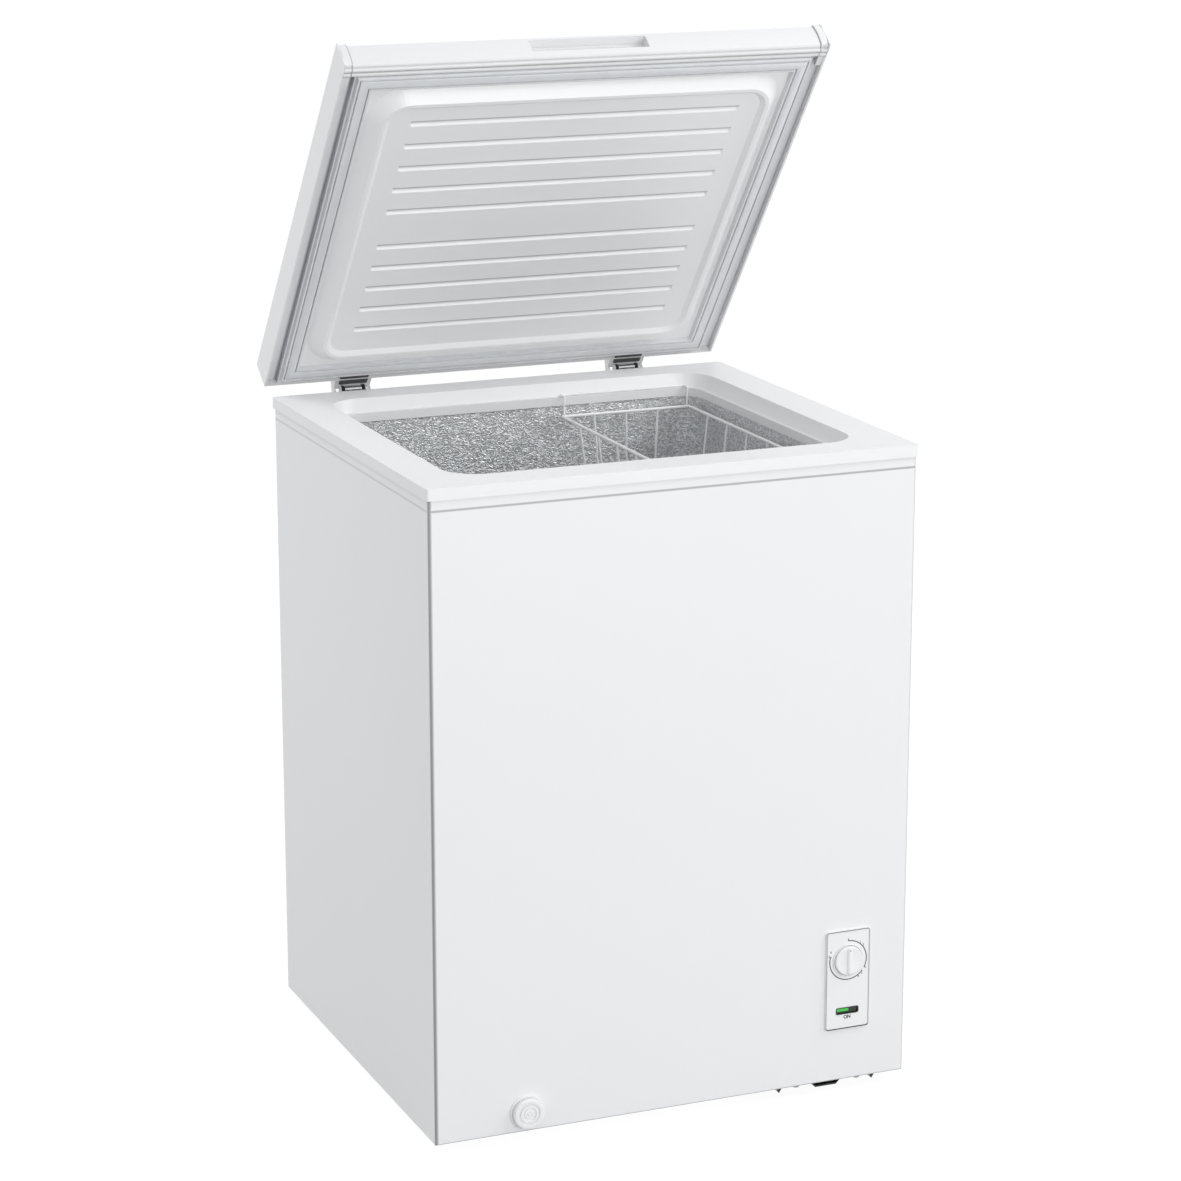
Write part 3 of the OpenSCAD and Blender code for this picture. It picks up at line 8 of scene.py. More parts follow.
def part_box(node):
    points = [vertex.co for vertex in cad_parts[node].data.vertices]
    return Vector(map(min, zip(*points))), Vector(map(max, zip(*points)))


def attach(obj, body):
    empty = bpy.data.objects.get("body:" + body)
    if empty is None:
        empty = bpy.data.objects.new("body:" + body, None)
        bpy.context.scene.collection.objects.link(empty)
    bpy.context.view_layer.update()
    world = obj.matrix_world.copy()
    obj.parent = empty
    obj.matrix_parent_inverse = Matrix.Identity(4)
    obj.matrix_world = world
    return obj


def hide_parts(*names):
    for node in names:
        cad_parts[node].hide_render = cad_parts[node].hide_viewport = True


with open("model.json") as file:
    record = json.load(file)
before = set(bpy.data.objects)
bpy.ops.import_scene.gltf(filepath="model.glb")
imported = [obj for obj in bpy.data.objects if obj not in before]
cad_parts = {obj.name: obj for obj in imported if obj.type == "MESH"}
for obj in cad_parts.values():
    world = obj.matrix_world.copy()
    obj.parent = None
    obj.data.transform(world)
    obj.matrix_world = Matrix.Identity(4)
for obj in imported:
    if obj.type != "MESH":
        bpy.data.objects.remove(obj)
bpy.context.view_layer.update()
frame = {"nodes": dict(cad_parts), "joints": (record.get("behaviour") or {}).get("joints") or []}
nodes = frame["nodes"]

MM = 0.001

# The lid's pin, and the angle that turns a closed lid to where it stands open
lid_joint = [joint for joint in frame["joints"] if joint["name"] == "lid_hinge"][0]
pin = Vector(lid_joint["pos_m"])
opened = radians(lid_joint["range_deg"][0])

# The closed lid's front edge, and the lower edge of its front trim
lid_front = pin.y - 578 * MM
lid_foot = pin.z + 38 * MM


# ---------------------------------------------------------------- camera

def place_camera():
    """A long lens, a little above the lid hinge, off the freezer's left front corner."""
    lens = bpy.data.cameras.new("camera")
    lens.sensor_width = 36
    lens.lens = 107.05
    lens.clip_end = 40
    camera = bpy.data.objects.new("camera", lens)
    camera.location = (-1.6040, -3.8929, 1.6765)
    looks_down, turns_right = 14.540, 22.592
    camera.rotation_euler = (radians(90 - looks_down), 0, radians(-turns_right))
    bpy.context.scene.collection.objects.link(camera)
    bpy.context.scene.camera = camera


place_camera()


# ---------------------------------------------------------------- shader writing

def feed(tree, given, socket):
    """Links a signal to a socket, or writes a plain value on it."""
    if isinstance(given, Signal):
        tree.links.new(given.socket, socket)
    elif isinstance(given, tuple) and len(given) == 3 and socket.type == "RGBA":
        socket.default_value = (*given, 1)
    else:
        socket.default_value = given


def add_node(tree, kind, settings=None, sockets=None, out=0):
    """Any node: its type, its settings first, then its sockets by name or place."""
    made = tree.nodes.new(kind)
    for name, setting in (settings or {}).items():
        setattr(made, name, setting)
    for name, given in (sockets or {}).items():
        feed(tree, given, made.inputs[name])
    return Signal(tree, made.outputs[out])


class Signal:
    """One socket of a node tree. Arithmetic on signals adds Math nodes."""

    def __init__(self, tree, socket):
        self.tree = tree
        self.socket = socket

    def math(self, operation, *terms):
        return add_node(self.tree, "ShaderNodeMath", {"operation": operation},
                        dict(enumerate(terms)))

    def __add__(self, other):
        return self.math("ADD", self, other)

    def __radd__(self, other):
        return self.math("ADD", other, self)

    def __sub__(self, other):
        return self.math("SUBTRACT", self, other)

    def __rsub__(self, other):
        return self.math("SUBTRACT", other, self)

    def __mul__(self, other):
        return self.math("MULTIPLY", self, other)

    def __rmul__(self, other):
        return self.math("MULTIPLY", other, self)

    def __truediv__(self, other):
        return self.math("DIVIDE", self, other)

    def __rtruediv__(self, other):
        return self.math("DIVIDE", other, self)

    def __gt__(self, other):
        return self.math("GREATER_THAN", self, other)

    def __lt__(self, other):
        return self.math("LESS_THAN", self, other)

    def __abs__(self):
        return self.math("ABSOLUTE", self)

    def at_least(self, other):
        return self.math("MAXIMUM", self, other)

    def floor(self):
        return self.math("FLOOR", self)

    def sign(self):
        return self.math("SIGN", self)

    def band(self, low, high):
        """Rises smoothly from 0 at low to 1 at high."""
        return add_node(self.tree, "ShaderNodeMapRange", {"interpolation_type": "SMOOTHSTEP"},
                        {"Value": self, "From Min": low, "From Max": high}, "Result")


class Finish:
    """A material: its Principled shader, and the nodes that feed it."""

    def __init__(self, name, **constants):
        self.material = bpy.data.materials.new(name)
        self.material.use_nodes = True
        self.tree = self.material.node_tree
        self.shader = self.tree.nodes["Principled BSDF"]
        self.set(**constants)

    def set(self, **sockets):
        """Feeds the shader's own sockets, named with _ for a space."""
        for name, given in sockets.items():
            feed(self.tree, given, self.shader.inputs[name.replace("_", " ")])

    def node(self, kind, settings=None, sockets=None, out=0):
        return add_node(self.tree, kind, settings, sockets, out)

    def place(self, stretch=(1, 1, 1), turn=(0, 0, 0), shift=(0, 0, 0)):
        """Object coordinates in metres, stretched, turned or shifted."""
        spot = self.node("ShaderNodeTexCoord", out="Object")
        return self.node("ShaderNodeMapping", sockets={
            "Vector": spot, "Scale": stretch, "Rotation": turn, "Location": shift})

    def on_closed_lid(self):
        """Object coordinates as a point of the lid would have them with the lid shut."""
        shut = Matrix.Rotation(-opened, 3, "X")
        return self.place(turn=(-opened, 0, 0), shift=tuple(pin - shut @ pin))

    def noise(self, where, scale, detail=2.0, rough=0.5, twist=0.0):
        return self.node("ShaderNodeTexNoise", sockets={
            "Vector": where, "Scale": scale, "Detail": detail,
            "Roughness": rough, "Distortion": twist})

    def cells(self, where, scale, out="Distance"):
        return self.node("ShaderNodeTexVoronoi", sockets={"Vector": where, "Scale": scale},
                         out=out)

    def along(self, where, axis):
        """How far a point lies along X, Y or Z."""
        return self.node("ShaderNodeSeparateXYZ", sockets={"Vector": where}, out=axis)

    def blend(self, share, first, second):
        """A mix of two colours."""
        return self.node("ShaderNodeMix", {"data_type": "RGBA"}, {
            "Factor": share, 6: first, 7: second}, out=2)

    def dark_lines(self, spot, dark_lines):
        """How far a point is shaded by the lines in folds, or None without any."""
        total = None
        for depth, tests in dark_lines:
            line = depth
            for axis, place, reach in tests:
                off = abs(self.along(spot, axis) - place)
                line = line * (1 - off.band(0.25 * reach, reach))
            total = line if total is None else total.at_least(line)
        return total

    def bump(self, height, depth, strength=1.0):
        """Height from 0 to 1, depth in metres."""
        return self.node("ShaderNodeBump", sockets={
            "Height": height, "Distance": depth, "Strength": strength}, out="Normal")


# ---------------------------------------------------------------- finishes

def tone(level, warm=0.0):
    """A near-white or grey, a touch warm or cool."""
    return (level * (1 + warm), level, level * (1 - warm))


def painted_steel(name, level, rough=0.34, peel=0.00002, dark_lines=()):
    """White stove enamel on sheet steel: faint orange peel, a slightly uneven gloss.

    Each line given is painted shade along a bend or under an overhang: a depth of shade and
    the (axis, place, reach) tests, in metres, that a point on that line passes.
    """
    f = Finish(name, Specular_IOR_Level=0.5, Coat_Roughness=0.12)
    spot = f.place()
    drift = f.noise(spot, 3.0, 3.0)
    skin = f.noise(spot, 420.0, 2.0, 0.45)
    fine = f.noise(spot, 60.0, 3.0)
    colour = f.blend(drift, tone(level * 0.985, -0.003), tone(level, -0.001))
    shade = f.dark_lines(spot, dark_lines)
    if shade is not None:
        colour = f.blend(shade, colour, tone(0.10, -0.02))
    f.set(Base_Color=colour,
          Roughness=rough + 0.05 * (fine - 0.5),
          Coat_Weight=0.12 + 0.05 * drift,
          Normal=f.bump(skin, peel, 0.5))
    return f.material


def moulded(name, level, rough=0.4, lid_seams_and_shade=()):
    """Injection-moulded plastic: a fine even grain, and slow variation of its gloss."""
    f = Finish(name, Specular_IOR_Level=0.5)
    spot = f.place()
    drift = f.noise(spot, 6.0, 2.0)
    grain = f.noise(spot, 900.0, 2.0)
    colour = f.blend(drift, tone(level * 0.975), tone(level))
    # Dark seam lines and lines of painted shade, placed as on the shut lid
    if lid_seams_and_shade:
        shade = f.dark_lines(f.on_closed_lid(), lid_seams_and_shade)
        colour = f.blend(shade, colour, tone(0.12, -0.02))
    f.set(Base_Color=colour,
          Roughness=rough + 0.08 * (f.noise(spot, 45.0) - 0.5),
          Normal=f.bump(grain, 0.00003, 0.35))
    return f.material


def lid_liner():
    """The lid's moulded liner: white, with painted shade in its side channels behind the seal."""
    f = Finish("lid_liner_plastic", Specular_IOR_Level=0.5)
    spot = f.on_closed_lid()
    out = abs(f.along(spot, "X"))
    depth = f.along(spot, "Z") - pin.z
    drift = f.noise(spot, 6.0, 2.0)
    white = f.blend(drift, tone(0.92), tone(0.94))
    # Painted shade in the side channels, darkest right beside the seal
    channel = out.band(0.2918, 0.2924)
    inner = channel * (1 - out.band(0.2935, 0.2975))
    grey = f.blend(inner, tone(0.88, -0.015), tone(0.46, -0.02))
    # The stiffening grooves: a painted highlight inside each, and painted shade along the lip at
    # the front of each
    groove_pitch = 37 * MM
    panel_middle = pin.y - 303.75 * MM
    groove_end = 212.2 * MM
    back = f.along(spot, "Y") - panel_middle
    reach = abs(back) - 12 * MM
    rest = reach - (reach / groove_pitch).floor() * groove_pitch - groove_pitch / 2
    offset = rest * back.sign()
    field = (out < groove_end) * (abs(back) < 0.19) * (depth > 0.0318)
    inside = field * depth.band(0.0326, 0.0334)
    lip = field * offset.band(-0.0062, -0.0048) * (1 - offset.band(-0.0040, -0.0030))
    panel = f.blend(inside, white, tone(0.98))
    panel = f.blend(lip * 0.75, panel, tone(0.40, -0.01))
    f.set(Base_Color=f.blend(channel, panel, grey),
          Roughness=0.32 + 0.08 * (f.noise(spot, 45.0) - 0.5),
          Normal=f.bump(f.noise(spot, 700.0, 2.0), 0.00003, 0.35))
    return f.material


def stucco_aluminium():
    """Rolled stucco pattern: short wavy ridges about 5 mm apart, longer sideways than tall."""
    f = Finish("embossed_aluminium", Specular_IOR_Level=0.5)
    spot = f.place(stretch=(1.0, 1.0, 1.7))
    ripple = f.noise(spot, 198.0, 1.0, 0.4, 0.6)
    ridge = 1 - abs(ripple - 0.5).band(0.0, 0.13)
    relief = ridge * 0.75 + f.noise(spot, 360.0, 1.0) * 0.35
    haze = f.noise(f.place(), 9.0, 3.0)
    # The colour follows the relief: ridges painted light and the hollows between them painted
    # dark, as shade
    f.set(Base_Color=f.blend(ridge, tone(0.64, -0.018), tone(0.96, -0.012)),
          Metallic=0.80,
          Roughness=0.36 + 0.10 * haze,
          Normal=f.bump(relief, 0.0011, 0.9))
    return f.material


def foil(name, level, rough, spangle=0.0, metallic=1.0):
    """Bare or plated sheet steel: zinc flowers where spangle is over 0."""
    f = Finish(name)
    spot = f.place()
    patches = f.node("ShaderNodeSeparateColor", sockets={
        "Color": f.cells(spot, 70.0, out="Color")})
    streaks = f.noise(f.place(stretch=(1, 1, 12)), 160.0, 3.0)
    share = patches * spangle + streaks * (0.4 - 0.4 * spangle)
    f.set(Base_Color=f.blend(share, tone(level * 0.78, -0.01), tone(level, -0.01)),
          Metallic=metallic,
          Roughness=rough + 0.18 * (share - 0.3),
          Normal=f.bump(streaks, 0.00002, 0.4))
    return f.material


def drawn_copper():
    """Copper pipe, partly tarnished."""
    f = Finish("copper_tube", Metallic=1.0)
    spot = f.place()
    tarnish = f.noise(spot, 26.0, 4.0, 0.6).band(0.35, 0.75)
    f.set(Base_Color=f.blend(tarnish, (0.80, 0.42, 0.27), (0.42, 0.20, 0.12)),
          Roughness=0.25 + 0.3 * tarnish,
          Normal=f.bump(f.noise(spot, 500.0), 0.00003, 0.3))
    return f.material


def black_lacquer():
    """The compressor shell's satin black paint, dusty in patches."""
    f = Finish("compressor_enamel", Specular_IOR_Level=0.5)
    spot = f.place()
    dust = f.noise(spot, 40.0, 5.0, 0.6).band(0.45, 0.8)
    f.set(Base_Color=f.blend(dust, (0.012, 0.012, 0.013), (0.05, 0.05, 0.05)),
          Roughness=0.32 + 0.35 * dust,
          Normal=f.bump(f.noise(spot, 320.0), 0.00005, 0.5))
    return f.material


def rubber(name, colour, rough=0.7):
    """Moulded rubber or soft PVC: matt, faintly mottled."""
    f = Finish(name, Specular_IOR_Level=0.4)
    spot = f.place()
    mottle = f.noise(spot, 55.0, 4.0)
    pale = tuple(min(1.0, c * 1.12 + 0.003) for c in colour)
    f.set(Base_Color=f.blend(mottle, colour, pale),
          Roughness=rough + 0.15 * (mottle - 0.5),
          Normal=f.bump(f.noise(spot, 700.0), 0.00005, 0.4))
    return f.material


def rigid_foam():
    """Polyurethane foam: tan, with small open cells."""
    f = Finish("foam", Specular_IOR_Level=0.2)
    spot = f.place()
    pores = f.cells(spot, 480.0)
    age = f.noise(spot, 7.0, 4.0)
    f.set(Base_Color=f.blend(age, (0.72, 0.60, 0.36), (0.80, 0.70, 0.47)),
          Roughness=0.8 + 0.15 * pores,
          Normal=f.bump(pores, 0.0005, 0.7))
    return f.material


def indicator_green():
    """The power lamp's lens: glowing over the middle of its left part, with painted shade along
    its lower part, darker along its top, and dark glass at its right.
    """
    f = Finish("lamp_green", Specular_IOR_Level=0.6)
    low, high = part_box("lamp_lens")
    spot = f.place()
    across = (f.along(spot, "X") - low.x) / (high.x - low.x)
    up = (f.along(spot, "Z") - low.z) / (high.z - low.z)
    glow_clear_of_shade = (1 - across.band(0.52, 0.62)) * up.band(0.30, 0.48) * (1 - up.band(0.84, 0.94))
    ribs = f.node("ShaderNodeTexWave", {"bands_direction": "X"}, {
        "Vector": spot, "Scale": 260.0})
    f.set(Base_Color=f.blend(glow_clear_of_shade, (0.003, 0.018, 0.004), (0.03, 0.36, 0.035)),
          Roughness=0.14 + 0.08 * ribs,
          Emission_Color=f.blend(glow_clear_of_shade, (0.0, 0.001, 0.0), (0.02, 0.30, 0.03)),
          Emission_Strength=0.8,
          Normal=f.bump(ribs, 0.00006, 0.4))
    return f.material


def coated_wire():
    """Thick white powder coat on steel wire."""
    f = Finish("coated_wire", Specular_IOR_Level=0.5)
    runs = f.noise(f.place(), 120.0, 2.0)
    f.set(Base_Color=f.blend(runs, tone(0.94), tone(0.97)),
          Roughness=0.3 + 0.12 * runs,
          Normal=f.bump(runs, 0.00015, 0.5))
    return f.material


def panel_lip():
    """The panel's grey lip, darker along its top, and nearly black along its lower edge as a
    painted shadow under the panel.
    """
    f = Finish("panel_lip", Specular_IOR_Level=0.4)
    low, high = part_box("control_panel")
    spot = f.place()
    height = f.along(spot, "Z")
    # Painted shadow along the lower edge, under the panel
    under = 1 - (height - low.z).band(0.0005, 0.0045)
    over = (height - high.z + 0.004).band(0.0, 0.003)
    grime = f.noise(spot, 300.0, 2.0)
    grey = f.blend(over, tone(0.44), tone(0.30))
    f.set(Base_Color=f.blend(under, grey, tone(0.012)),
          Roughness=0.5 + 0.15 * grime,
          Normal=f.bump(grime, 0.00004, 0.4))
    return f.material


# Lines of shade: depth, then the (axis, place, reach) tests of painted_steel
front_low, front_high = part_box("front_panel")
left, right = front_low.x, front_high.x
rim_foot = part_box("top_frame")[0].z
cabinet_painted_shade = (
    (0.80, (("X", left, 0.0050), ("Y", front_low.y, 0.0040))),
    (0.55, (("Y", front_low.y, 0.0020), ("Z", rim_foot, 0.0020))),
    (0.30, (("X", left, 0.0020), ("Z", rim_foot, 0.0020))),
    (0.50, (("Y", front_low.y, 0.0020), ("Z", front_low.z, 0.0016))),
    (0.35, (("X", right, 0.0016), ("Y", front_low.y, 0.0020))),
)

end_seam = 0.2994
trim_edge = ("Z", lid_foot, 0.0060)
# On the lid's front trim: dark seams where its end caps meet it, and three lines of painted shade
# across its underside near its lower edge
trim_seams_and_shade = (
    (0.50, (("X", end_seam, 0.0012),)),
    (0.50, (("X", -end_seam, 0.0012),)),
    (0.38, (("Y", lid_front + 14.3 * MM, 0.0012), trim_edge)),
    (0.25, (("Y", lid_front + 7.6 * MM, 0.0011), trim_edge)),
    (0.25, (("Y", lid_front + 20.9 * MM, 0.0011), trim_edge)),
)

finishes = {
    "cabinet_enamel": painted_steel("cabinet_enamel", 0.855, dark_lines=cabinet_painted_shade),
    "lid_enamel": painted_steel("lid_enamel", 0.86),
    "grey_sheet": foil("grey_sheet", 0.42, 0.45, 0.2, 0.6),
    "galvanised_sheet": foil("galvanised_sheet", 0.66, 0.38, 0.8),
    "embossed_aluminium": stucco_aluminium(),
    "foam": rigid_foam(),
    "rim_plastic": moulded("rim_plastic", 0.88, 0.38),
    "white_plastic": moulded("white_plastic", 0.88, 0.34),
    "grey_plastic": moulded("grey_plastic", 0.34, 0.45),
    "black_plastic": moulded("black_plastic", 0.018, 0.42),
    "copper_tube": drawn_copper(),
    "compressor_enamel": black_lacquer(),
    "black_rubber": rubber("black_rubber", (0.014, 0.014, 0.015)),
    "gasket_vinyl": rubber("gasket_vinyl", (0.74, 0.75, 0.76), 0.5),
    "magnet_strip": rubber("magnet_strip", (0.05, 0.045, 0.04), 0.6),
    "lamp_green": indicator_green(),
    "zinc_steel": foil("zinc_steel", 0.72, 0.26, 0.3),
    "hinge_enamel": painted_steel("hinge_enamel", 0.80, 0.4, 0.00005),
    "spring_steel": foil("spring_steel", 0.5, 0.3),
    "coated_wire": coated_wire(),
    "lid_liner_plastic": lid_liner(),
    "trim_plastic": moulded("trim_plastic", 0.83, 0.34, trim_seams_and_shade),
    "seal_groove_shade": rubber("seal_groove_shade", (0.24, 0.245, 0.25), 0.5),
    "print_ink": moulded("print_ink", 0.045, 0.5),
    "panel_lip": panel_lip(),
    "knob_groove_shade": moulded("knob_groove_shade", 0.42, 0.5),
    "hinge_stiffener": moulded("hinge_stiffener", 0.075, 0.35),
    "dot_ink": moulded("dot_ink", 0.38, 0.5),
}


def dress_cad_nodes():
    """Gives each solid the finish of the material slot that it came with."""
    for solid in nodes.values():
        for held in solid.material_slots:
            held.material = finishes[held.material.name.split(".")[0]]
    for name in ("lid_front_trim", "lid_end_cap_left", "lid_end_cap_right"):
        for held in nodes[name].material_slots:
            held.material = finishes["trim_plastic"]


dress_cad_nodes()


# ---------------------------------------------------------------- modelling

def begin():
    """Leaves edit mode and deselects everything."""
    if bpy.context.object and bpy.context.object.mode != "OBJECT":
        bpy.ops.object.mode_set(mode="OBJECT")
    bpy.ops.object.select_all(action="DESELECT")


def choose(piece):
    """Makes piece the only selected object."""
    begin()
    bpy.context.view_layer.objects.active = piece
    piece.select_set(True)


def edit(piece):
    """Opens the mesh of piece, and of no other object, with all of it selected."""
    choose(piece)
    bpy.ops.object.mode_set(mode="EDIT")
    bpy.ops.mesh.select_all(action="SELECT")


def pick(piece, test):
    """Selects the faces of an open mesh whose middle and normal pass test, and no others."""
    bpy.ops.mesh.select_mode(type="FACE")
    bpy.ops.mesh.select_all(action="DESELECT")
    bpy.ops.object.mode_set(mode="OBJECT")
    for face in piece.data.polygons:
        face.select = test(face.center, face.normal)
    bpy.ops.object.mode_set(mode="EDIT")


def extrude(rise):
    bpy.ops.mesh.extrude_region_move(TRANSFORM_OT_translate={"value": (0, 0, rise)})


def point_outwards(piece):
    edit(piece)
    bpy.ops.mesh.normals_make_consistent(inside=False)
    begin()


def name_piece(piece, name):
    piece.name = name
    piece.data.name = name
    return piece


def start(name, corners, thick):
    """A prism over a flat outline: corners are (x, y), and it stands thick high on z = 0."""
    begin()
    bpy.ops.mesh.primitive_circle_add(vertices=len(corners), radius=1, fill_type="NGON")
    piece = name_piece(bpy.context.object, name)
    for point, corner in zip(piece.data.vertices, corners):
        point.co = (*corner, 0)
    edit(piece)
    extrude(thick)
    point_outwards(piece)
    return piece


def rounded(width, height, corner, steps=6):
    """Corners of a rectangle with rounded corners, about its middle."""
    points = []
    for turn, (x, y) in enumerate(((1, 1), (-1, 1), (-1, -1), (1, -1))):
        for step in range(steps + 1):
            angle = (turn + step / steps) * pi / 2
            points.append((x * (width / 2 - corner) + corner * cos(angle),
                           y * (height / 2 - corner) + corner * sin(angle)))
    return points


def ringed(radius, around):
    """Points on a circle about the middle."""
    return [(radius * cos(2 * pi * k / around), radius * sin(2 * pi * k / around))
            for k in range(around)]


def turned(name, steps, around=64):
    """A turned piece on z = 0: steps are the (radius, height) of each edge, from its foot up."""
    (radius, _), (second, rise) = steps[:2]
    piece = start(name, ringed(radius, around), rise)
    edit(piece)
    pick(piece, lambda middle, normal: middle.z > rise * 0.999 and normal.z > 0.9)
    if second != radius:
        bpy.ops.transform.resize(value=(second / radius, second / radius, 1))
    radius = second
    for wide, high in steps[2:]:
        extrude(high - rise)
        bpy.ops.transform.resize(value=(wide / radius, wide / radius, 1))
        radius, rise = wide, high
    begin()
    return piece


def hollow(piece, wall):
    """Opens a flat piece into a ring whose wall is this wide."""
    edit(piece)
    pick(piece, lambda middle, normal: abs(normal.z) > 0.9)
    bpy.ops.mesh.inset(thickness=wall, depth=0)
    bpy.ops.mesh.bridge_edge_loops()
    begin()


def place(piece, spot, turn=(0, 0, 0)):
    """Turns and moves a piece, and leaves its object at the origin."""
    choose(piece)
    piece.rotation_euler = turn
    piece.location = spot
    bpy.ops.object.transform_apply(location=True, rotation=True, scale=True)
    begin()
    return piece


def face_front(piece, spot):
    """Turns a piece built on z = 0 so that its +Z looks to the front, -Y."""
    return place(piece, spot, (pi / 2, 0, 0))


def soften(piece, width, segments=2, angle=30):
    """Rounds a piece's edges."""
    choose(piece)
    bevel = piece.modifiers.new("round", "BEVEL")
    bevel.width = width
    bevel.segments = segments
    bevel.limit_method = "ANGLE"
    bevel.angle_limit = radians(angle)
    bpy.ops.object.modifier_apply(modifier=bevel.name)
    edit(piece)
    bpy.ops.mesh.dissolve_degenerate(threshold=0.01 * MM)
    begin()
    return piece


def join(name, pieces):
    """Makes one piece of several, in the first one's object."""
    begin()
    for piece in pieces:
        piece.select_set(True)
    bpy.context.view_layer.objects.active = pieces[0]
    bpy.ops.object.join()
    begin()
    return name_piece(pieces[0], name)


def dress(piece, slot, smooth=35):
    """Gives a piece one finish over all of it, and shades it smooth over shallow edges."""
    choose(piece)
    bpy.ops.object.shade_smooth_by_angle(angle=radians(smooth))
    piece.data.materials.clear()
    piece.data.materials.append(finishes[slot])
    begin()


def touch_up(piece, slot, test):
    """Gives the faces that pass test another finish."""
    piece.data.materials.append(finishes[slot])
    for face in piece.data.polygons:
        if test(face.center, face.normal):
            face.material_index = len(piece.data.materials) - 1


def finished(piece, body, slot, *stands_for):
    """Puts a piece on its body, and hides any nodes it replaces; slot is not used."""
    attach(piece, body)
    if stands_for:
        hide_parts(*stands_for)


# ---------------------------------------------------------------- control panel

panel_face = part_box("control_panel")[0].y


def seen_from_front(node):
    """A node's middle, in the panel's face, with its width and height."""
    low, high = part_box(node)
    middle = Vector(((low.x + high.x) / 2, panel_face, (low.z + high.z) / 2))
    return middle, high.x - low.x, high.z - low.z


panel_spot, panel_width, panel_height = seen_from_front("control_panel")
dial_spot, dial_width, _ = seen_from_front("thermostat_dial")
lens_spot, lens_width, lens_height = seen_from_front("lamp_lens")
dial_r = dial_width / 2


def panel_edge():
    """The thin grey lip around the panel."""
    inset = 0.6 * MM
    lip = start("control_panel_lip",
                rounded(panel_width - inset, panel_height - inset, 3.7 * MM), 0.35 * MM)
    hollow(lip, 1.25 * MM)
    face_front(lip, panel_spot)
    dress(lip, "panel_lip")
    finished(lip, "cabinet", "grey_plastic")


def arc(radius, begins, ends, wide=1.15 * MM):
    """A printed arc about the dial, with clock angles in degrees from 12 o'clock."""
    steps = max(6, int((ends - begins) / 5))
    angles = [radians(90 - begins - (ends - begins) * k / steps) for k in range(steps + 1)]
    near, far = radius - wide / 2, radius + wide / 2
    inner = [(near * cos(a), near * sin(a)) for a in angles]
    outer = [(far * cos(a), far * sin(a)) for a in reversed(angles)]
    return start("arc", inner + outer, 0.12 * MM)


def lettered(words, size, across, up, bold):
    """Raised ink lettering about the dial's middle."""
    raised = 0.06 * MM
    begin()
    bpy.ops.object.text_add()
    text = bpy.context.object
    text.data.body = words
    text.data.size = size
    text.data.align_x = "CENTER"
    text.data.align_y = "CENTER"
    text.data.extrude = raised
    text.data.offset = bold
    bpy.ops.object.convert(target="MESH")
    text = bpy.context.object
    edit(text)
    bpy.ops.mesh.remove_doubles(threshold=0.005 * MM)
    point_outwards(text)
    return place(text, (across, up, raised))


def scale_print():
    """The scale about the dial: two arcs with end ticks, digits, and the lamp's word."""
    reach = dial_r + 4.3 * MM
    first, second = (0, 118), (130, 286)
    prints = [arc(reach, *first), arc(reach, *second)]
    for ends, out, long in ((first, 1.4 * MM, 3.4 * MM), (second, -0.2 * MM, 2.2 * MM)):
        for clock in ends:
            prints.append(arc(reach + out, clock - 0.9, clock + 0.9, long))
    for digit, clock, out in (("1", 38, 1.9), ("2", 50, 1.9), ("3", 136, 1.9),
                              ("4", 148, 2.0), ("5", 286, 1.9), ("6", 299, 1.9)):
        angle, far = radians(90 - clock), reach + out * MM
        prints.append(lettered(digit, 4.4 * MM, far * cos(angle), far * sin(angle), 0.0))
    word_drop = 8.4 * MM
    prints.append(lettered("ON", 6.0 * MM, 0, lens_spot.z - dial_spot.z - word_drop, 0.22 * MM))
    piece = face_front(join("control_panel_print", prints), dial_spot)
    dress(piece, "print_ink")
    finished(piece, "cabinet", "black_plastic")


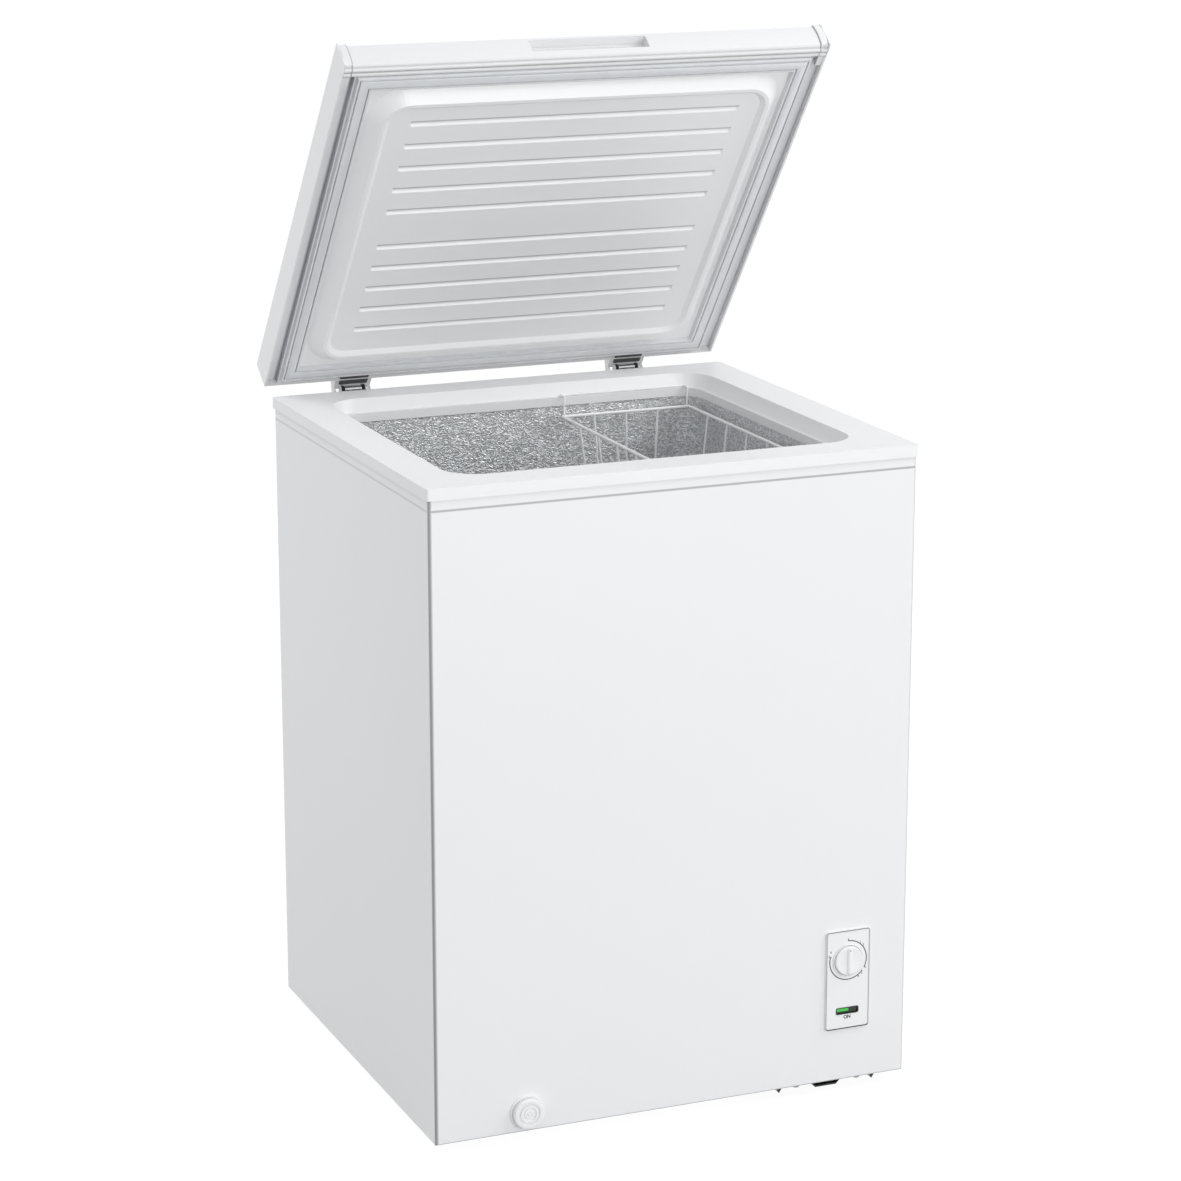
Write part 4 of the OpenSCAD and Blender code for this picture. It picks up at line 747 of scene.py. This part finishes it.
def dial():
    """The knob: a thin outer rim, a groove, and a shallow disc with one soft grip across it."""
    r = dial_r
    foot, tall = 0.3 * MM, 6.4 * MM
    dot_out = r - 6.6 * MM
    disc = turned("thermostat_knob", (
        (r, 0), (r, 0.9 * MM), (r - 0.4 * MM, 1.2 * MM), (r - 1.1 * MM, 1.2 * MM),
        (r - 1.2 * MM, 0.5 * MM), (r - 2.1 * MM, 0.5 * MM), (r - 2.4 * MM, 3.2 * MM),
        (r - 3.1 * MM, 3.8 * MM), (r - 4.2 * MM, 4.0 * MM), (r - 5.6 * MM, 3.7 * MM)), 72)
    grip = start("grip", rounded(10.5 * MM, 2 * r - 6.4 * MM, 4.4 * MM), tall)
    edit(grip)
    pick(grip, lambda middle, normal: normal.z > 0.9)
    bpy.ops.transform.resize(value=(0.40, 0.96, 1))
    begin()
    soften(grip, 1.2 * MM, 3, 40)
    dot = start("dot", ringed(1.0 * MM, 20), 0.25 * MM)
    place(dot, (0, dot_out, tall - 0.1 * MM))
    knob = join("thermostat_knob", [disc, grip, dot])
    place(knob, (0, 0, foot))
    face_front(knob, dial_spot)
    dress(knob, "white_plastic", 30)

    def away(middle, up=0.0):
        """How far a face lies from a point this much above the dial's middle."""
        return hypot(middle.x - dial_spot.x, middle.z - dial_spot.z - up)

    touch_up(knob, "dot_ink", lambda middle, normal: (
        normal.y < -0.9 and away(middle, dot_out) < 1.05 * MM))
    # The groove round the disc is painted grey, as shade
    touch_up(knob, "knob_groove_shade", lambda middle, normal: (
        normal.y < -0.9 and r - 2.35 * MM < away(middle) < r - 1.25 * MM))
    shaft_long = 15 * MM
    shaft = turned("thermostat_shaft", (
        (3 * MM, 0), (3 * MM, shaft_long), (2.6 * MM, shaft_long + 0.5 * MM)), 24)
    face_front(shaft, dial_spot + Vector((0, shaft_long, 0)))
    dress(shaft, "white_plastic")
    finished(knob, "dial", "white_plastic", "thermostat_dial")
    finished(shaft, "dial", "white_plastic")


def lamp_slot():
    """A dark frame with rounded ends around the lamp's window."""
    slot = start("lamp_slot",
                 rounded(lens_width + 1.2 * MM, lens_height + 0.9 * MM, 2.8 * MM), 0.5 * MM)
    hollow(slot, 1.15 * MM)
    face_front(slot, lens_spot)
    dress(slot, "black_plastic")
    finished(slot, "cabinet", "black_plastic")


panel_edge()
scale_print()
dial()
lamp_slot()


# ---------------------------------------------------------------- drain cap

def drain_cap():
    """A ribbed cap whose face steps up in rings to a small dome, over its sleeve."""
    low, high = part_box("drain_cap")
    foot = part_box("drain_collar")[0].y - 0.6 * MM
    spot = Vector(((low.x + high.x) / 2, foot, (low.z + high.z) / 2))
    r, tall = (high.x - low.x) / 2, foot - low.y
    around = 108
    cap = turned("drain_cap_ringed", (
        (r - 0.7 * MM, 0), (r - 0.7 * MM, tall - 1.6 * MM), (r - 1.6 * MM, tall - 0.4 * MM),
        (r - 2.8 * MM, tall - 0.1 * MM), (0.70 * r, tall - 0.3 * MM), (0.66 * r, tall - 2.3 * MM),
        (0.60 * r, tall - 2.3 * MM), (0.57 * r, tall - 0.4 * MM), (0.46 * r, tall - 0.2 * MM),
        (0.43 * r, tall - 1.9 * MM), (0.33 * r, tall - 1.9 * MM), (0.30 * r, tall - 0.7 * MM),
        (0.17 * r, tall - 0.5 * MM), (0.15 * r, tall - 1.4 * MM), (0.12 * r, tall - 1.4 * MM),
        (0.10 * r, tall - 0.5 * MM), (0.05 * r, tall - 0.3 * MM)), around)

    def rib(middle, normal):
        """Every third face of the cap's outer wall."""
        if abs(normal.z) > 0.3 or hypot(middle.x, middle.y) < r - 1.2 * MM:
            return False
        angle = Vector((middle.x, middle.y)).angle_signed(Vector((1, 0)))
        return round(angle / (2 * pi / around) - 0.5) % 3 == 0

    edit(cap)
    pick(cap, rib)
    bpy.ops.mesh.extrude_faces_move(TRANSFORM_OT_shrink_fatten={"value": 0.6 * MM})
    begin()
    sleeve = start("sleeve", ringed(8 * MM, 48), 18 * MM)
    hollow(sleeve, 1.5 * MM)
    place(sleeve, (0, 0, -17.9 * MM))
    face_front(join("drain_cap_ringed", [cap, sleeve]), spot)
    dress(cap, "white_plastic", 30)
    finished(cap, "drain_cap", "white_plastic", "drain_cap")


drain_cap()


# ---------------------------------------------------------------- hinges

def open_lid(piece):
    """Turns a piece drawn on the closed lid by the angle at which the lid stands open."""
    return place(piece, pin - Matrix.Rotation(opened, 3, "X") @ pin, (opened, 0, 0))


def hinge_parts(side, middle):
    """Roller, bushes and flanges under a hinge leaf, and its dark stiffener."""
    y, z = pin.y - 8.0 * MM, pin.z + 36.0 * MM

    def across(name, steps, spots):
        """Copies of a turned piece along X, with their middles at spots."""
        long = steps[-1][1]
        return [place(turned(name, steps, 32), (spot - long / 2, y, z), (0, pi / 2, 0))
                for spot in spots]

    def fit(piece, finish, slot):
        dress(open_lid(piece), finish)
        finished(piece, "lid", slot)

    def both(out):
        return middle - out, middle + out

    roller, = across("hinge_roller_" + side, (
        (3.6 * MM, 0), (4.6 * MM, 0.8 * MM), (4.6 * MM, 23.2 * MM), (3.6 * MM, 24 * MM)),
        [middle])
    fit(roller, "zinc_steel", "zinc_steel")
    bushes = across("bush", (
        (4.0 * MM, 0), (4.9 * MM, 0.4 * MM), (4.9 * MM, 3.0 * MM), (4.0 * MM, 3.4 * MM)),
        both(13.9 * MM))
    plate = start("hinge_stiffener_" + side, rounded(38 * MM, 15 * MM, 1.2 * MM), 1.1 * MM)
    place(plate, (middle, y - 14.0 * MM, z + 3.0 * MM))
    fit(soften(plate, 0.3 * MM, 1), "hinge_stiffener", "black_plastic")
    fit(join("hinge_bushes_" + side, bushes), "black_rubber", "black_rubber")
    flanges = across("flange", (
        (4.4 * MM, 0), (5.2 * MM, 0.3 * MM), (5.2 * MM, 1.1 * MM), (4.4 * MM, 1.4 * MM)),
        both(16.6 * MM))
    fit(join("hinge_flanges_" + side, flanges), "white_plastic", "white_plastic")


for hinge_side in ("left", "right"):
    leaf_low, leaf_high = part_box("hinge_leaf_" + hinge_side)
    hinge_parts(hinge_side, (leaf_low.x + leaf_high.x) / 2)


# ---------------------------------------------------------------- lid seal

def seal():
    """The folded vinyl seal: raised lips, thin grooves and a flat band."""
    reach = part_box("lid_gasket")[1].x
    front, rear = pin.y - 556.5 * MM, pin.y - 34 * MM
    base = pin.z + 42 * MM
    wide, rise = 19 * MM, 6.9 * MM
    piece = start("lid_seal", [(reach, rear), (-reach, rear), (-reach, front), (reach, front)],
                  rise)
    hollow(piece, wide)
    edit(piece)
    pick(piece, lambda middle, normal: normal.z > 0.9)
    for thick, deep in ((2.4, 0.0), (0.4, -2.2), (0.9, 0.0), (0.4, 2.0), (0.8, 0.6)):
        bpy.ops.mesh.inset(thickness=thick * MM, depth=deep * MM)
    begin()
    # Upside down, so that it hangs from the closed lid
    for point in piece.data.vertices:
        point.co.z = base - point.co.z
    point_outwards(piece)
    dress(piece, "gasket_vinyl", 40)
    # The floors of the thin grooves are painted dark grey, as shade
    touch_up(piece, "seal_groove_shade", lambda middle, normal: normal.z < -0.9 and (
        base - rise + 1.0 * MM < middle.z < base - rise + 3.0 * MM))
    open_lid(piece)
    finished(piece, "lid", "gasket_vinyl", "lid_gasket")


seal()


# ---------------------------------------------------------------- under the front edge

def base_bolts():
    """Rounded bolt heads beside the front bracket, up against the bottom hem."""
    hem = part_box("front_panel")[0]
    bracket_x, bolt_out = 206 * MM, 41 * MM
    heads = []
    for x in (bracket_x - bolt_out, bracket_x + bolt_out):
        head = turned("head", ((5.0 * MM, 0), (5.0 * MM, 2.2 * MM), (4.2 * MM, 3.6 * MM),
                               (2.4 * MM, 4.4 * MM)), 24)
        heads.append(place(head, (x, hem.y + 8 * MM, hem.z), (pi, 0, 0)))
    bolts = join("front_base_bolts", heads)
    dress(bolts, "grey_sheet")
    finished(bolts, "cabinet", "grey_sheet")


base_bolts()


# ---------------------------------------------------------------- room and light

def seen(tree):
    """1 where the camera looks, straight, by reflection or through glass, and 0 for light."""
    direct, mirror, through = (add_node(tree, "ShaderNodeLightPath", out=kind) for kind in (
        "Is Camera Ray", "Is Glossy Ray", "Is Transmission Ray"))
    return direct.at_least(mirror).at_least(through)


def light_room():
    """A soft sky that shows white, and three square lamps."""
    scene = bpy.context.scene
    scene.view_settings.view_transform = "Standard"
    world = bpy.data.worlds.new("room")
    scene.world = world
    world.use_nodes = True
    tree = world.node_tree
    tree.nodes.remove(tree.nodes["Background"])
    soft = add_node(tree, "ShaderNodeBackground", sockets={
        "Color": (0.95, 0.97, 1.0), "Strength": 0.76})
    white = add_node(tree, "ShaderNodeBackground", sockets={
        "Color": (1.0, 1.0, 1.0), "Strength": 1.0})
    mix = add_node(tree, "ShaderNodeMixShader", sockets={0: seen(tree), 1: soft, 2: white})
    feed(tree, mix, tree.nodes["World Output"].inputs["Surface"])
    for name, spot, aim, size, watts in (
            ("front_low", (0.6, -4.0, 0.9), (0, 0, 0.9), 1.6, 41.0),
            ("left_back", (-1.5, 1.5, 2.3), (-0.3, 0, 0.75), 1.0, 16.0),
            ("right", (2.6, -1.4, 2.8), (0, 0, 0.8), 1.8, 44.0),
    ):
        lamp = bpy.data.lights.new(name, "AREA")
        lamp.shape = "SQUARE"
        lamp.size = size
        lamp.energy = watts
        holder = bpy.data.objects.new(name, lamp)
        holder.location = spot
        turn = (Vector(aim) - Vector(spot)).to_track_quat("-Z", "Y")
        holder.rotation_euler = turn.to_euler()
        scene.collection.objects.link(holder)


def lay_floor():
    """A pale floor that keeps the shadow and shows white to the camera."""
    begin()
    bpy.ops.mesh.primitive_plane_add(size=30, location=(0, 0, 0))
    floor = bpy.context.object
    floor.name = "floor"
    f = Finish("pale_floor", Roughness=0.75, Specular_IOR_Level=0.15)
    scuffs = f.noise(f.place(), 2.0, 4.0)
    f.set(Base_Color=f.blend(scuffs, tone(0.44), tone(0.46)))
    paint = Signal(f.tree, f.shader.outputs[0])
    glow = f.node("ShaderNodeEmission", sockets={"Color": (1.0, 1.0, 1.0), "Strength": 1.19})
    mix = f.node("ShaderNodeMixShader", sockets={0: seen(f.tree) * 0.80, 1: paint, 2: glow})
    feed(f.tree, mix, f.tree.nodes["Material Output"].inputs["Surface"])
    floor.data.materials.append(f.material)


light_room()
lay_floor()
